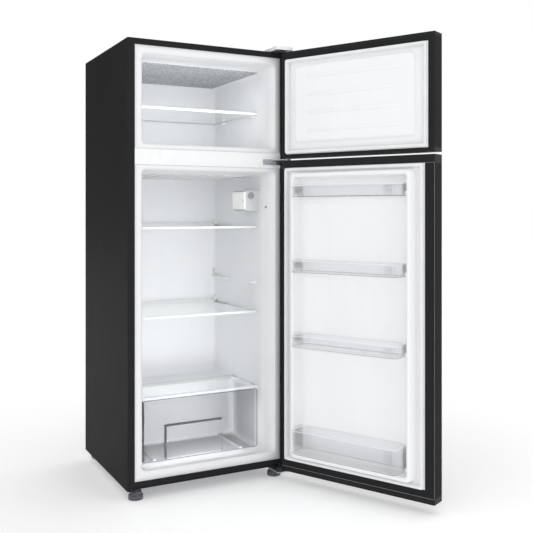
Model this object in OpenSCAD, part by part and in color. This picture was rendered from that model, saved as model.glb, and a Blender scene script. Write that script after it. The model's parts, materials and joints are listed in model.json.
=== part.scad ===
// Top freezer refrigerator, apartment size, shown with both doors standing open.
// Millimetres. +Z is up, -Y is the front, +X is the hinge side.
// The origin is on the floor, under the middle of the right front foot.

/* [Cabinet] */
// Width over the side panels
cab_w = 554; // [540:1:580]
// Depth of the cabinet without its doors
cab_d = 504; // [500:1:520]
// Height of the cabinet top above the floor
cab_h = 1430; // [1428:1:1440]
// Height of the cabinet's lower edge above the floor
cab_lift = 32; // [31:0.5:34]
// Thickness of the outer steel sheet
sheet_t = 1.2; // [0.8:0.1:1.5]
// Width of the steel flange that frames the front, at the sides
side_flange = 22.5; // [18:0.5:24]
// Width of the steel flange that frames the front, at the top
top_flange = 19; // [15:0.5:22]

/* [Compartments] */
// Half of the width of both mouths
mouth_half = 231; // [226:1:233]
// Half of the clear width between the side walls
wall_half = 213; // [208:1:216]
// Wall thickness of the white liners
liner_t = 2; // [1.5:0.1:2.5]
// Depth of the flared entry, from the front plane
flare_d = 62; // [50:1:70]
// Distance from the liners' back wall to the cabinet's back
back_insulation = 46; // [40:1:55]
// Lower and upper edge of the freezer's mouth
freezer_mouth = [1104, 1386];
// Floor and ceiling of the freezer
freezer_room = [1110, 1369];
// Lower and upper edge of the fridge's mouth
fridge_mouth = [87, 1025];
// Floor and ceiling of the fridge
fridge_room = [82, 1016];
// Depth at which the step over the compressor begins
step_y = 40; // [30:1:60]
// Height of the step over the compressor
step_z = 280; // [270:1:285]

/* [Shelves and drawer] */
// Underside of the freezer's glass shelf
freezer_shelf_z = 1228; // [1200:1:1260]
// Undersides of the fridge's two glass shelves
fridge_shelf_z = [838, 547];
// Height of the support level that is left empty
spare_level_z = 650; // [620:1:700]
// Underside of the glass over the crisper drawer
crisper_glass_z = 291; // [288:1:296]
// Thickness of the shelf glass
glass_t = 4; // [3:0.5:5]
// Depth of the front edge of the shelves
shelf_front_y = -164; // [-170:1:-150]
// Depth of the crisper drawer's front face
drawer_front_y = -174; // [-178:1:-170]
// Wall thickness of the clear mouldings
clear_t = 2.4; // [1.8:0.1:3]

/* [Doors] */
// Opening angle of both doors as modelled
door_open = 115.8; // [0:0.1:135]
// Thickness of the doors
door_t = 52; // [48:1:56]
// Gap between the doors and the cabinet, filled by the gaskets
door_gap = 13; // [12:0.5:15]
// Lower and upper edge of the freezer door
freezer_door_z = [1071, 1423];
// Lower and upper edge of the fridge door
fridge_door_z = [33, 1063];
// Distance of the hinge pins from the hinge-side face
pin_inset = 12; // [11:0.5:14]
// Distance of the hinge pins in front of the cabinet
pin_forward = 36; // [34:0.5:38]
// Radius of the hinge pins
pin_r = 4; // [3:0.5:4.5]
// Height of the ridge round the fridge door's shelves
dike_h = 38; // [30:1:40]
// Undersides of the four door bins, from the top
bin_z = [941, 700, 462, 121];
// Heights of the four door bins' front walls, from the top
bin_h = [36, 37, 36, 74];

/* [Hidden] */
$fn = 48;

// Cabinet planes
half_w = cab_w / 2;
front_y = -cab_d / 2;
back_y = cab_d / 2;
inner_half = half_w - sheet_t;
flange_in = half_w - side_flange;
liner_front = front_y + 0.6;
liner_back = liner_front + liner_t;
rim_y = front_y + flare_d;
back_wall = back_y - back_insulation;
room_r = 13;
seam = 0.3;
mullion_z = [1040, 1089];
crossbar_top = 59;
// Sheet-metal floor of the foam, and the compressor bay that it steps over
floor_sheet_z = 50;
bay_y = step_y + 32;
bay_z = step_z - 22;

// Door planes, as the doors stand when closed
door_in = front_y - door_gap;
door_out = door_in - door_t;
pin_x = half_w - pin_inset;
pin_y = front_y - pin_forward;
pin_grip = 16;
// Widths of the steel return on a door's inner face: latch side, hinge side
freezer_return = [20.5, 20.5];
fridge_return = [31, 18];
// Lower and upper edge of the white field on each door's inner face
freezer_field = [1083, 1397];
fridge_field = [73, 1038];
freezer_cap = [12, 8];
fridge_cap = [17, 25];
cap_wall = 2.5;
bush_r = 7.5;
boss_r = 10.4;
// Finger scoops in the edges where the doors meet: span across, span in depth, depth upwards
scoop_x = [-236, -104];
scoop_y = [-307, -287];
scoop_depth = 20;

// Fridge door: ridge and recess, half widths and heights
dike_half = 219;
dike_z = [92, 1021];
recess_half = 203;
recess_z = [109, 1004];
recess_floor = door_in - 10;
bin_back = recess_floor + 1;
bin_front = door_in + 76;
bin_half = 190;
stud_y = [door_in + 7, door_in + 27];
stud_z = [2, 14];

// Base
rail_z = 31;
rail_t = 3;
rail_in = 236;
foot_x = 243;
foot_y = -226;
stud_r = 5;
roller_x = 250;
roller_y = 215;
roller_r = 14.5;
axle_r = 4;

// Compressor
comp_x = -40;
comp_y = 163;
comp_r = 70;
comp_plate_z = 34;
comp_base_z = 48;
comp_bolts = [for (sx = [-1, 1], sy = [-1, 1]) [comp_x + 85 * sx, comp_y + 50 * sy]];
dome_r = 95;
dome_z = 85.8;
drain_xy = [comp_x, 190];
drain_r = 8;
// Condenser tube inside the side panels: depth from the middle, height, radius
coil_r = 2.4;
coil_x = inner_half - coil_r - 0.8;
coil_z = [300, 1360];
coil_step = 60;

drawer_z = fridge_room[0] + 5.3;
crisper_glass_span = [crisper_glass_z, crisper_glass_z + glass_t];

// Controls on the right wall
box_x = [162, wall_half];
box_y = [-176, -74];
box_z = [896, 966];
knob_x = 179;
knob_z = 948;
switch_y = [-222, -204];
switch_z = [898, 920];
plunger_x = 213;

// Screw positions
top_screws = [[228, -214], [252, -214], [240, -238]];
middle_screws = [[204, 1058], [236, 1058]];
bottom_screws = [[264, -214], [264, -233]];
screw_r = 2;

black = [0.2, 0.2, 0.21];
white = [0.95, 0.95, 0.96];
clear = [0.82, 0.86, 0.88, 0.45];
steel = [0.62, 0.64, 0.67];
foam_yellow = [0.93, 0.88, 0.68];

// ---------- shared shapes ----------

// Box from three [low, high] pairs
module span(x, y, z) {
    translate([x[0], y[0], z[0]])
        cube([x[1] - x[0], y[1] - y[0], z[1] - z[0]]);
}

// Rectangle with round corners, from its [low, high] pairs
module round_rect(a, b, r) {
    translate([a[0] + r, b[0]])
        square([a[1] - a[0] - 2 * r, b[1] - b[0]]);
    translate([a[0], b[0] + r])
        square([a[1] - a[0], b[1] - b[0] - 2 * r]);
    for (u = [a[0] + r, a[1] - r], v = [b[0] + r, b[1] - r])
        translate([u, v])
            circle(r);
}

// Upright prism with round vertical edges
module prism(x, y, z, r) {
    translate([0, 0, z[0]])
        linear_extrude(z[1] - z[0])
            round_rect(x, y, r);
}

// Slab facing the front, with round corners seen from the front
module slab(x, y, z, r) {
    translate([0, y[1], 0])
        rotate([90, 0, 0])
            linear_extrude(y[1] - y[0])
                round_rect(x, z, r);
}

// Blend between two thin slabs at different depths
module frustum(x0, z0, y0, x1, z1, y1, r) {
    hull() {
        slab(x0, [y0, y0 + 0.4], z0, r, $fn = 32);
        slab(x1, [y1 - 0.4, y1], z1, r, $fn = 32);
    }
}

// Both sides of the cabinet
module both_sides() {
    children();
    mirror([1, 0, 0])
        children();
}

// Moves a piece that is drawn about the cabinet's middle, so that the right foot stands on the origin
module placed() {
    translate([-foot_x, -foot_y, 0])
        children();
}

// Turns a door, and what it carries, about the hinge pins
module at_door() {
    translate([pin_x, pin_y, 0])
        rotate([0, 0, door_open])
            translate([-pin_x, -pin_y, 0])
                children();
}

function sym(h) = [-h, h];
function widen(p, g) = [p[0] - g, p[1] + g];

// Space of one compartment: a flared mouth, then straight walls as far as y1; g widens it
module room(mouth_z, room_z, y0, y1, g) {
    frustum(sym(mouth_half + g), widen(mouth_z, g), y0,
            sym(wall_half + g), widen(room_z, g), rim_y, room_r);
    slab(sym(wall_half + g), [rim_y - 0.4, y1], widen(room_z, g), room_r);
}

// Straight part of the fridge compartment, with the step over the compressor; g widens it
module fridge_box(g) {
    difference() {
        span(sym(wall_half + g), [rim_y, back_wall + g], widen(fridge_room, g));
        span(sym(half_w), [step_y + g, back_y], [0, step_z - g]);
    }
}

// ---------- cabinet ----------

module outer_wrapper() {
    placed()
        color(black)
            difference() {
                union() {
                    prism(sym(half_w), [front_y, 10], [cab_lift, cab_h], 3);
                    span(sym(half_w), [0, back_y], [cab_lift, cab_h]);
                }
                span(sym(inner_half), [front_y + sheet_t, back_y + 1], [cab_lift - 1, cab_h - sheet_t]);
                span(sym(flange_in), [front_y - 1, front_y + 2 * sheet_t],
                     [cab_lift - 1, cab_h - top_flange]);
                for (p = top_screws)
                    translate([p[0], p[1], cab_h - 5])
                        cylinder(r = screw_r + 0.05, h = 10);
            }
}

module back_panel() {
    placed()
        color([0.28, 0.28, 0.29])
            difference() {
                span(sym(inner_half), [back_y - sheet_t, back_y], [bay_z, cab_h - sheet_t]);
                gland_hole(8);
            }
}

module gland_hole(r) {
    translate([200, back_y + 1, bay_z + 30])
        rotate([90, 0, 0])
            cylinder(r = r, h = 14);
}

module bottom_panel() {
    placed()
        color(steel)
            difference() {
                union() {
                    span(sym(inner_half), [-236, bay_y + sheet_t], [floor_sheet_z, floor_sheet_z + sheet_t]);
                    span(sym(inner_half), [bay_y, bay_y + sheet_t], [floor_sheet_z, bay_z]);
                    span(sym(inner_half), [bay_y, back_y], [bay_z - sheet_t, bay_z]);
                }
                translate([drain_xy[0], drain_xy[1], bay_z - 10])
                    cylinder(r = drain_r + 0.05, h = 20);
            }
}

// Black member below the fridge: the upper half is flush, the lower half is set back
module front_crossbar() {
    placed()
        color(black) {
            span(sym(flange_in), [front_y, front_y + sheet_t], [45, crossbar_top]);
            span(sym(flange_in), [front_y, front_y + 13], [43.8, 45]);
            span(sym(flange_in), [front_y + 11.8, front_y + 13], [cab_lift, 45]);
            span(sym(flange_in), [front_y, front_y + 6], [crossbar_top - sheet_t, crossbar_top]);
        }
}

// Rails under both sides, which take the feet and carry the rear rollers
module base_rails() {
    placed()
        color(steel) {
            rail(bottom_screws);
            mirror([1, 0, 0])
                rail([]);
        }
}

module rail(screws) {
    difference() {
        union() {
            span([rail_in, inner_half], [-237, 250], [rail_z, rail_z + rail_t]);
            span([inner_half - rail_t, inner_half], [-237, 250], [rail_z, floor_sheet_z]);
            for (x = [rail_in + 1, rail_in + 24.5])
                span([x, x + 2.5], [roller_y - 14, roller_y + 14], [8, rail_z + 1]);
        }
        translate([foot_x, foot_y, rail_z - 1])
            cylinder(r = stud_r + 0.05, h = rail_t + 2);
        for (p = screws)
            translate([p[0], p[1], rail_z - 1])
                cylinder(r = screw_r + 0.05, h = rail_t + 2);
        translate([rail_in - 1, roller_y, roller_r])
            rotate([0, 90, 0])
                cylinder(r = axle_r + 0.05, h = 32);
    }
}

// Rigid foam between the steel and the liners
module cabinet_foam() {
    placed()
        color(foam_yellow)
            difference() {
                union() {
                    span(sym(inner_half), [liner_back, back_y - sheet_t],
                         [crossbar_top + 1, cab_h - sheet_t]);
                    span(sym(inner_half), [-236, bay_y], [floor_sheet_z + sheet_t, crossbar_top + 2]);
                }
                room(freezer_mouth, freezer_room, liner_front, back_wall + liner_t, liner_t);
                room(fridge_mouth, fridge_room, liner_front, rim_y + 1, liner_t);
                fridge_box(liner_t);
                span(sym(half_w), [bay_y, back_y + 1], [0, bay_z]);
                both_sides()
                    span([coil_x - 3.2, inner_half + 1], [-215, 215], [coil_z[0] - 36, coil_z[1] + 35]);
                span([plunger_x - 5, 230], switch_y, switch_z);
                translate([drain_xy[0], drain_xy[1], bay_z - 1])
                    cylinder(r = drain_r + 0.05, h = 40);
                gland_hole(12.2);
            }
}

module freezer_liner() {
    placed()
        color(white)
            difference() {
                union() {
                    span(sym(flange_in - seam), [liner_front, liner_back],
                         [mullion_z[1] + seam, cab_h - top_flange - seam]);
                    room(freezer_mouth, freezer_room, liner_front, back_wall + liner_t, liner_t);
                }
                room(freezer_mouth, freezer_room, liner_front - 1, back_wall, 0);
            }
}

// Front flange and flared entry of the fridge compartment
module fridge_liner() {
    placed()
        color(white)
            difference() {
                union() {
                    span(sym(flange_in - seam), [liner_front, liner_back],
                         [crossbar_top + seam, mullion_z[0] - seam]);
                    room(fridge_mouth, fridge_room, liner_front, rim_y, liner_t);
                }
                room(fridge_mouth, fridge_room, liner_front - 1, rim_y + 1, 0);
                span([plunger_x - 5, 235], switch_y, switch_z);
            }
}

// Flat sheets behind the entry: sides, ceiling, floor, back, and the step's front and top
module fridge_walls() {
    joint = 0.1;
    far = back_wall + liner_t;
    front = rim_y + joint;
    low = fridge_room[0];
    high = fridge_room[1];
    inner = wall_half - joint;
    placed()
        color(white) {
            both_sides()
                difference() {
                    span([wall_half, wall_half + liner_t], [front, far], [low + joint, high - joint]);
                    span([0, half_w], [step_y + liner_t, back_y], [0, step_z - liner_t]);
                }
            span(sym(wall_half + liner_t), [front, far], [high, high + liner_t]);
            span(sym(wall_half + liner_t), [front, step_y + liner_t], [low - liner_t, low]);
            span(sym(inner), [back_wall, far], [step_z + joint, high - joint]);
            span(sym(inner), [step_y, step_y + liner_t], [low + joint, step_z - liner_t - joint]);
            difference() {
                span(sym(inner), [step_y, far], [step_z - liner_t, step_z]);
                translate([drain_xy[0], drain_xy[1], step_z - 10])
                    cylinder(r = drain_r - 2, h = 20);
            }
        }
}

// Supports for the shelves and the crisper's glass, and the runners below the drawer
module shelf_ledges() {
    rear = [80, back_wall];
    front = [-142, -116];
    placed()
        color(white)
            both_sides() {
                ledge([100, 132], freezer_shelf_z);
                ledge(front, freezer_shelf_z);
                for (z = [fridge_shelf_z[0], fridge_shelf_z[1], spare_level_z]) {
                    ledge(rear, z);
                    ledge(front, z);
                }
                ledge([-150, -124], crisper_glass_z);
                ledge([6, step_y], crisper_glass_z);
                span([150, 160], [-150, step_y - 8], [fridge_room[0], drawer_z - 0.2]);
            }
}

// Support on the right wall, with its top just under a shelf
module ledge(y, z) {
    span([wall_half - 9, wall_half], y, [z - 9, z - seam]);
}

module mullion_cover() {
    placed()
        color(white)
            difference() {
                span(sym(flange_in - seam), [front_y, liner_back], mullion_z);
                for (p = middle_screws)
                    translate([p[0], front_y + 5, p[1]])
                        rotate([90, 0, 0])
                            cylinder(r = screw_r + 0.05, h = 10);
            }
}

// Embossed cooling plate that forms the freezer's ceiling
module evaporator_plate() {
    placed()
        color([0.66, 0.68, 0.7])
            span(sym(wall_half - room_r), [rim_y + 4, back_wall - 3],
                 [freezer_room[1] - 2.8, freezer_room[1]]);
}

// ---------- hinges ----------

module pin(z0, z1) {
    translate([pin_x, pin_y, z0])
        cylinder(r = pin_r, h = z1 - z0);
}

module top_hinge() {
    placed()
        color(steel)
            difference() {
                union() {
                    prism([218, 274], [pin_y - 13, -205], [cab_h, cab_h + 3], 6);
                    pin(freezer_door_z[1] - pin_grip, cab_h + 1);
                    translate([pin_x, pin_y, cab_h - 3.5])
                        cylinder(r = 7, h = 4);
                }
                for (p = top_screws)
                    translate([p[0], p[1], cab_h - 1])
                        cylinder(r = screw_r + 0.05, h = 5);
            }
}

module top_hinge_cover() {
    placed()
        color([0.88, 0.88, 0.9])
            difference() {
                prism([214.5, 277], [pin_y - 16, -201], [cab_h, cab_h + 11], 8);
                prism([216.5, 275], [pin_y - 14, -203], [cab_h - 1, cab_h + 9], 6);
            }
}

module middle_hinge() {
    plate_z = [fridge_door_z[1] + 2.5, fridge_door_z[1] + 5.5];
    placed()
        color(steel)
            difference() {
                union() {
                    span([188, 262], [front_y - 2.5, front_y], [1050, plate_z[1]]);
                    translate([0, 0, plate_z[0]])
                        linear_extrude(plate_z[1] - plate_z[0]) {
                            polygon([[222, front_y], [270, front_y], [274, pin_y], [256, pin_y - 6]]);
                            translate([pin_x, pin_y])
                                circle(9);
                        }
                    pin(fridge_door_z[1] - pin_grip, freezer_door_z[0] + pin_grip);
                }
                for (p = middle_screws)
                    translate([p[0], front_y + 1, p[1]])
                        rotate([90, 0, 0])
                            cylinder(r = screw_r + 0.05, h = 6);
            }
}

module bottom_hinge() {
    placed()
        color(steel)
            difference() {
                union() {
                    prism([218, 274], [pin_y - 13, -205], [rail_z - 3, rail_z], 6);
                    pin(rail_z - 1, fridge_door_z[0] + pin_grip);
                }
                translate([foot_x, foot_y, rail_z - 5])
                    cylinder(r = stud_r + 0.6, h = 8);
                for (p = bottom_screws)
                    translate([p[0], p[1], rail_z - 5])
                        cylinder(r = screw_r + 0.05, h = 8);
            }
}

// Screw with a low round head; the shank starts at the head's underside
module screw(shank) {
    cylinder(r = 4.2, h = 2.4);
    translate([0, 0, -shank])
        cylinder(r = screw_r, h = shank + 1);
}

// Hinge screws, compressor bolts and the rollers' axles
module fasteners() {
    placed()
        color(steel) {
            for (p = top_screws)
                translate([p[0], p[1], cab_h + 3])
                    screw(3 + sheet_t);
            for (p = middle_screws)
                translate([p[0], front_y - 2.5, p[1]])
                    rotate([90, 0, 0])
                        screw(2.5 + liner_t);
            for (p = bottom_screws)
                translate([p[0], p[1], rail_z - 3])
                    rotate([180, 0, 0])
                        screw(3 + rail_t);
            for (p = comp_bolts)
                translate([p[0], p[1], comp_plate_z]) {
                    cylinder(r = 4, h = comp_base_z - comp_plate_z + 3);
                    translate([0, 0, comp_base_z - comp_plate_z + 2.5])
                        cylinder(r = 7, h = 4);
                }
            both_sides()
                translate([rail_in - 1, roller_y, roller_r])
                    rotate([0, 90, 0]) {
                        cylinder(r = axle_r, h = 30);
                        cylinder(r = 6, h = 1.9);
                        translate([0, 0, 28.2])
                            cylinder(r = 6, h = 1.9);
                    }
        }
}

// ---------- controls ----------

module control_housing() {
    placed()
        color(white)
            difference() {
                slab(box_x, box_y, box_z, 6);
                span([box_x[0] - 1, box_x[1] - 2], [box_y[0] + 2.5, box_y[1] - 2.5], widen(box_z, -2.5));
                translate([knob_x, box_y[0] + 5, knob_z])
                    rotate([90, 0, 0])
                        cylinder(r = 3.05, h = 10);
            }
}

module lamp_cover() {
    placed()
        color([0.98, 0.98, 0.95])
            difference() {
                span([box_x[0] - 7, box_x[0]], widen(box_y, -2), widen(box_z, -4));
                span([box_x[0] - 5, box_x[0] + 1], widen(box_y, -4), widen(box_z, -6));
            }
}

module lamp_bulb() {
    neck_r = 6.5;
    glass_r = 9;
    placed()
        color([1, 0.97, 0.88])
            translate([box_x[0] + 10, -100, 922])
                rotate([0, 90, 0]) {
                    cylinder(r1 = 3, r2 = glass_r, h = 6);
                    translate([0, 0, 6])
                        cylinder(r = glass_r, h = 10);
                    translate([0, 0, 16])
                        cylinder(r1 = glass_r, r2 = neck_r, h = 4);
                    translate([0, 0, 20])
                        cylinder(r = neck_r, h = box_x[1] - box_x[0] - 32);
                }
}

module thermostat_knob() {
    placed()
        color([0.8, 0.81, 0.83])
            translate([knob_x, box_y[0] - 0.3, knob_z])
                rotate([90, 0, 0]) {
                    cylinder(r = 11, h = 5);
                    cylinder(r = 8.5, h = 10);
                    translate([0, 0, -5.5])
                        cylinder(r = 3, h = 7);
                    span([-1.2, 1.2], [0, 10.8], [5, 6.2]);
                }
}

module switch_housing() {
    placed()
        color(white)
            difference() {
                span([plunger_x - 5, 230], switch_y, switch_z);
                translate([plunger_x, switch_y[0] + 15, 909])
                    rotate([90, 0, 0])
                        cylinder(r = 3.56, h = 20);
            }
}

module switch_plunger() {
    placed()
        color([0.86, 0.86, 0.87])
            translate([plunger_x, switch_y[0] + 10, 909])
                rotate([90, 0, 0])
                    cylinder(r = 3.5, h = 14.5);
}

// ---------- cooling machinery ----------

module compressor() {
    placed()
        color([0.13, 0.13, 0.14])
            difference() {
                union() {
                    prism(widen(sym(0), 98) + [comp_x, comp_x], sym(62) + [comp_y, comp_y],
                          [comp_base_z, comp_base_z + 2.5], 12);
                    translate([comp_x, comp_y, comp_base_z]) {
                        cylinder(r = comp_r, h = 102);
                        translate([0, 0, 68])
                            cylinder(r = comp_r + 3, h = 4);
                    }
                    intersection() {
                        translate([comp_x, comp_y, dome_z])
                            sphere(dome_r, $fn = 96);
                        translate([comp_x, comp_y, 140])
                            cylinder(r = comp_r, h = 60);
                    }
                }
                for (p = comp_bolts)
                    translate([p[0], p[1], comp_base_z - 1])
                        cylinder(r = 4.05, h = 5);
            }
}

module compressor_plate() {
    placed()
        color(steel)
            difference() {
                span(sym(inner_half - rail_t - 0.2), [92, 242], [comp_plate_z, comp_plate_z + 2.5]);
                for (p = comp_bolts)
                    translate([p[0], p[1], comp_plate_z - 1])
                        cylinder(r = 4.05, h = 5);
            }
}

module compressor_grommets() {
    placed()
        color([0.15, 0.15, 0.15])
            for (p = comp_bolts)
                translate([p[0], p[1], comp_plate_z + 2.5])
                    difference() {
                        union() {
                            cylinder(r = 9, h = comp_base_z - comp_plate_z - 2.5);
                            cylinder(r = 12, h = 4);
                        }
                        translate([0, 0, -1])
                            cylinder(r = 4.05, h = 20);
                    }
}

module relay_cover() {
    placed()
        color([0.12, 0.12, 0.13])
            difference() {
                span([comp_x + 40, comp_x + 104], [comp_y - 28, comp_y + 28], [72, 132]);
                translate([comp_x, comp_y, 60])
                    cylinder(r = comp_r + 3.2, h = 90);
            }
}

// Tray on the compressor's dome, which its warmth dries
module evaporating_tray() {
    tray_z = 184;
    placed()
        color([0.2, 0.2, 0.21]) {
            difference() {
                prism([comp_x - 78, comp_x + 78], [98, 232], [tray_z, tray_z + 34], 12);
                prism([comp_x - 76, comp_x + 76], [100, 230], [tray_z + 2, tray_z + 35], 10);
            }
            difference() {
                translate([comp_x, comp_y, 168])
                    cylinder(r = 42, h = tray_z - 167);
                translate([comp_x, comp_y, 160])
                    cylinder(r = 39, h = 40);
                translate([comp_x, comp_y, dome_z])
                    sphere(dome_r + 0.1, $fn = 96);
            }
        }
}

module drain_tube() {
    placed()
        color([0.9, 0.9, 0.9])
            translate([drain_xy[0], drain_xy[1], 200])
                difference() {
                    cylinder(r = drain_r, h = step_z - liner_t - 200);
                    translate([0, 0, -1])
                        cylinder(r = drain_r - 2, h = 90);
                }
}

// Suction and discharge pipes, the filter dryer, and the condenser behind both side panels
module refrigerant_pipes() {
    top_z = bay_z - sheet_t;
    placed()
        color([0.75, 0.46, 0.28]) {
            riser([-150, 150], 130, top_z, comp_x - comp_r + 1);
            riser([-165, 180], 100, top_z, comp_x - comp_r + 2);
            translate([140, 200, 90])
                cylinder(r = 9, h = 90);
            translate([140, 200, 75])
                cylinder(r1 = 3, r2 = 9, h = 15);
            translate([140, 200, 179])
                cylinder(r = 3, h = top_z - 179);
            both_sides()
                condenser_coil();
        }
}

// One side's condenser tube behind its panel, bent back and forth
module condenser_coil() {
    translate([coil_x, 0, 0]) {
        for (i = [0 : 6])
            translate([0, coil_step * (i - 3), coil_z[0]])
                cylinder(r = coil_r, h = coil_z[1] - coil_z[0]);
        for (i = [0 : 5])
            translate([0, coil_step * (i - 2.5), coil_z[(i + 1) % 2]])
                rotate([i % 2 == 0 ? 90 : -90, 0, 90])
                    rotate_extrude(angle = 180)
                        translate([coil_step / 2, 0])
                            circle(coil_r);
    }
}

// Pipe that leaves the compressor sideways and turns up
module riser(xy, z, top_z, x_end) {
    bend = 15;
    translate([xy[0], xy[1], z + bend])
        cylinder(r = 3, h = top_z - z - bend);
    translate([xy[0] + bend, xy[1], z + bend])
        rotate([90, 0, 0])
            rotate([0, 0, 180])
                rotate_extrude(angle = 90)
                    translate([bend, 0])
                        circle(3);
    translate([xy[0] + bend, xy[1], z])
        rotate([0, 90, 0])
            cylinder(r = 3, h = x_end - xy[0] - bend);
}

module cord_gland() {
    placed()
        color([0.1, 0.1, 0.1])
            translate([200, back_y, bay_z + 30])
                rotate([90, 0, 0])
                    difference() {
                        union() {
                            cylinder(r = 7.95, h = 8);
                            translate([0, 0, -3])
                                cylinder(r = 11, h = 3);
                        }
                        translate([0, 0, -4])
                            cylinder(r = 3.6, h = 9);
                    }
}

// ---------- shelves and drawer ----------

module shelf_glass(z) {
    placed()
        color(clear)
            span(sym(wall_half - 6), [shelf_front_y + 6, back_wall - 14], [z, z + glass_t]);
}

// Front edge strip and rear stop of a shelf
module shelf_trims(z) {
    placed()
        color(white) {
            difference() {
                span(sym(wall_half - 3), [shelf_front_y, shelf_front_y + 14], [z - 3, z + glass_t + 4]);
                span(sym(wall_half - 6), [shelf_front_y + 6, shelf_front_y + 15], [z, z + glass_t]);
            }
            span(sym(wall_half - 6), [back_wall - 14, back_wall - 10], [z, z + glass_t + 8]);
            span(sym(wall_half - 6), [back_wall - 22, back_wall - 13], [z + glass_t, z + glass_t + 2]);
        }
}

module crisper_glass() {
    placed()
        color(clear)
            span(sym(wall_half - 6), [shelf_front_y - 8, step_y - 2], crisper_glass_span);
}

module crisper_glass_trim() {
    front = shelf_front_y - 14;
    placed()
        color(white)
            difference() {
                span(sym(wall_half - 3), [front, front + 14], widen(crisper_glass_span, 3));
                span(sym(wall_half - 6), [front + 6, front + 15], crisper_glass_span);
            }
}

module crisper_drawer() {
    bottom = drawer_z;
    grip_x = [-122, 75];
    grip_z = [bottom, 196];
    grip_y = drawer_front_y + 18;
    placed()
        color(clear)
            difference() {
                union() {
                    difference() {
                        union() {
                            prism(sym(200), [drawer_front_y + 1, step_y - 9], [bottom, 279], 8);
                            slab(sym(206), [drawer_front_y, drawer_front_y + clear_t + 0.8],
                                 [bottom, 286], 9);
                        }
                        prism(sym(200 - clear_t), [drawer_front_y + clear_t + 0.8, step_y - 9 - clear_t],
                              [bottom + clear_t, 290], 6);
                    }
                    span(widen(grip_x, clear_t), [drawer_front_y + 1, grip_y],
                         [bottom, grip_z[1] + clear_t]);
                }
                span(grip_x, [drawer_front_y - 1, grip_y - clear_t], [bottom - 1, grip_z[1]]);
            }
}

// ---------- doors ----------

// Steel skin that wraps the front and both long edges and returns onto the inner face
module door_skin(z, ret, field) {
    color(black)
        difference() {
            prism(sym(half_w), [door_out, door_in], z, 3);
            span(sym(inner_half), [door_out + sheet_t, door_in - sheet_t], widen(z, 1));
            span([-half_w + ret[0], half_w - ret[1]], [door_in - 2 * sheet_t, door_in + 1], field);
        }
}

// One end cap: closed at the z_out end, open towards the door
module door_cap(z_out, depth, dir, scooped) {
    outer = dir > 0 ? [z_out, z_out + depth] : [z_out - depth, z_out];
    inner = dir > 0 ? [z_out + 3, z_out + depth + 1] : [z_out - depth - 1, z_out - 3];
    color(black)
        difference() {
            union() {
                difference() {
                    prism(sym(half_w), [door_out, door_in], outer, 3);
                    span(sym(half_w - cap_wall), [door_out + cap_wall, door_in - cap_wall], inner);
                }
                along(z_out, dir, 0, pin_grip)
                    cylinder(r = boss_r, h = pin_grip);
                if (scooped)
                    cap_pocket(z_out, dir, scoop_depth, 2.2);
            }
            along(z_out, dir, -1, pin_grip + 2)
                cylinder(r = bush_r + 0.05, h = pin_grip + 2);
            if (scooped)
                cap_pocket(z_out - dir, dir, scoop_depth - 1, 0);
        }
}

// Moves a shape of height h to the pin's axis, starting s inside the door's end
module along(z_out, dir, s, h) {
    translate([pin_x, pin_y, dir > 0 ? z_out + s : z_out - s - h])
        children();
}

// Box of the finger scoop, widened by g for its walls
module cap_pocket(z_out, dir, depth, g) {
    z = dir > 0 ? [z_out, z_out + depth + g] : [z_out - depth - g, z_out];
    prism(widen(scoop_x, g), widen(scoop_y, g), z, 4);
}

module door_foam(z, cap) {
    color(foam_yellow)
        difference() {
            union() {
                span(sym(inner_half), [door_out + sheet_t, door_in - liner_t - 0.1],
                     [z[0] + cap[0], z[1] - cap[1]]);
                span(sym(half_w - cap_wall), [door_out + cap_wall, door_in - cap_wall], widen(z, -3));
            }
            along(z[0], 1, -1, pin_grip + 1.2)
                cylinder(r = boss_r + 0.1, h = pin_grip + 1.2);
            along(z[1], -1, -1, pin_grip + 1.2)
                cylinder(r = boss_r + 0.1, h = pin_grip + 1.2);
            children();
        }
}

// Compressible seal: a base strip and a narrower magnetic bulb
module gasket(ret, field) {
    x = [-half_w + ret[0] + 0.5, half_w - ret[1] - 0.5];
    z = widen(field, -0.5);
    color([0.93, 0.93, 0.94]) {
        ring(x, z, [door_in, door_in + 5], 12);
        ring(widen(x, -1.5), widen(z, -1.5), [door_in + 4.5, door_gap + door_in - 1], 9);
    }
}

module ring(x, z, y, w) {
    difference() {
        slab(x, y, z, 8);
        slab(widen(x, -w), widen(y, 1), widen(z, -w), 4);
    }
}

// Bushes that the hinge pins turn in, one at each end of a door
module bushes(z) {
    color([0.92, 0.92, 0.9])
        for (e = [[z[0], 1], [z[1], -1]])
            difference() {
                union() {
                    along(e[0], e[1], 0, pin_grip)
                        cylinder(r = bush_r, h = pin_grip);
                    along(e[0], e[1], -1.2, 1.2)
                        cylinder(r = 10, h = 1.2);
                }
                along(e[0], e[1], -2, pin_grip + 3)
                    cylinder(r = pin_r + 0.05, h = pin_grip + 3);
            }
}

module freezer_door_skin() {
    placed()
        at_door()
            door_skin([freezer_door_z[0] + freezer_cap[0], freezer_door_z[1] - freezer_cap[1]],
                      freezer_return, freezer_field);
}

module freezer_door_caps() {
    placed()
        at_door() {
            door_cap(freezer_door_z[0], freezer_cap[0], 1, true);
            door_cap(freezer_door_z[1], freezer_cap[1], -1, false);
        }
}

module freezer_door_foam() {
    placed()
        at_door()
            door_foam(freezer_door_z, freezer_cap)
                cap_pocket(freezer_door_z[0], 1, scoop_depth, 2.3);
}

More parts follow.
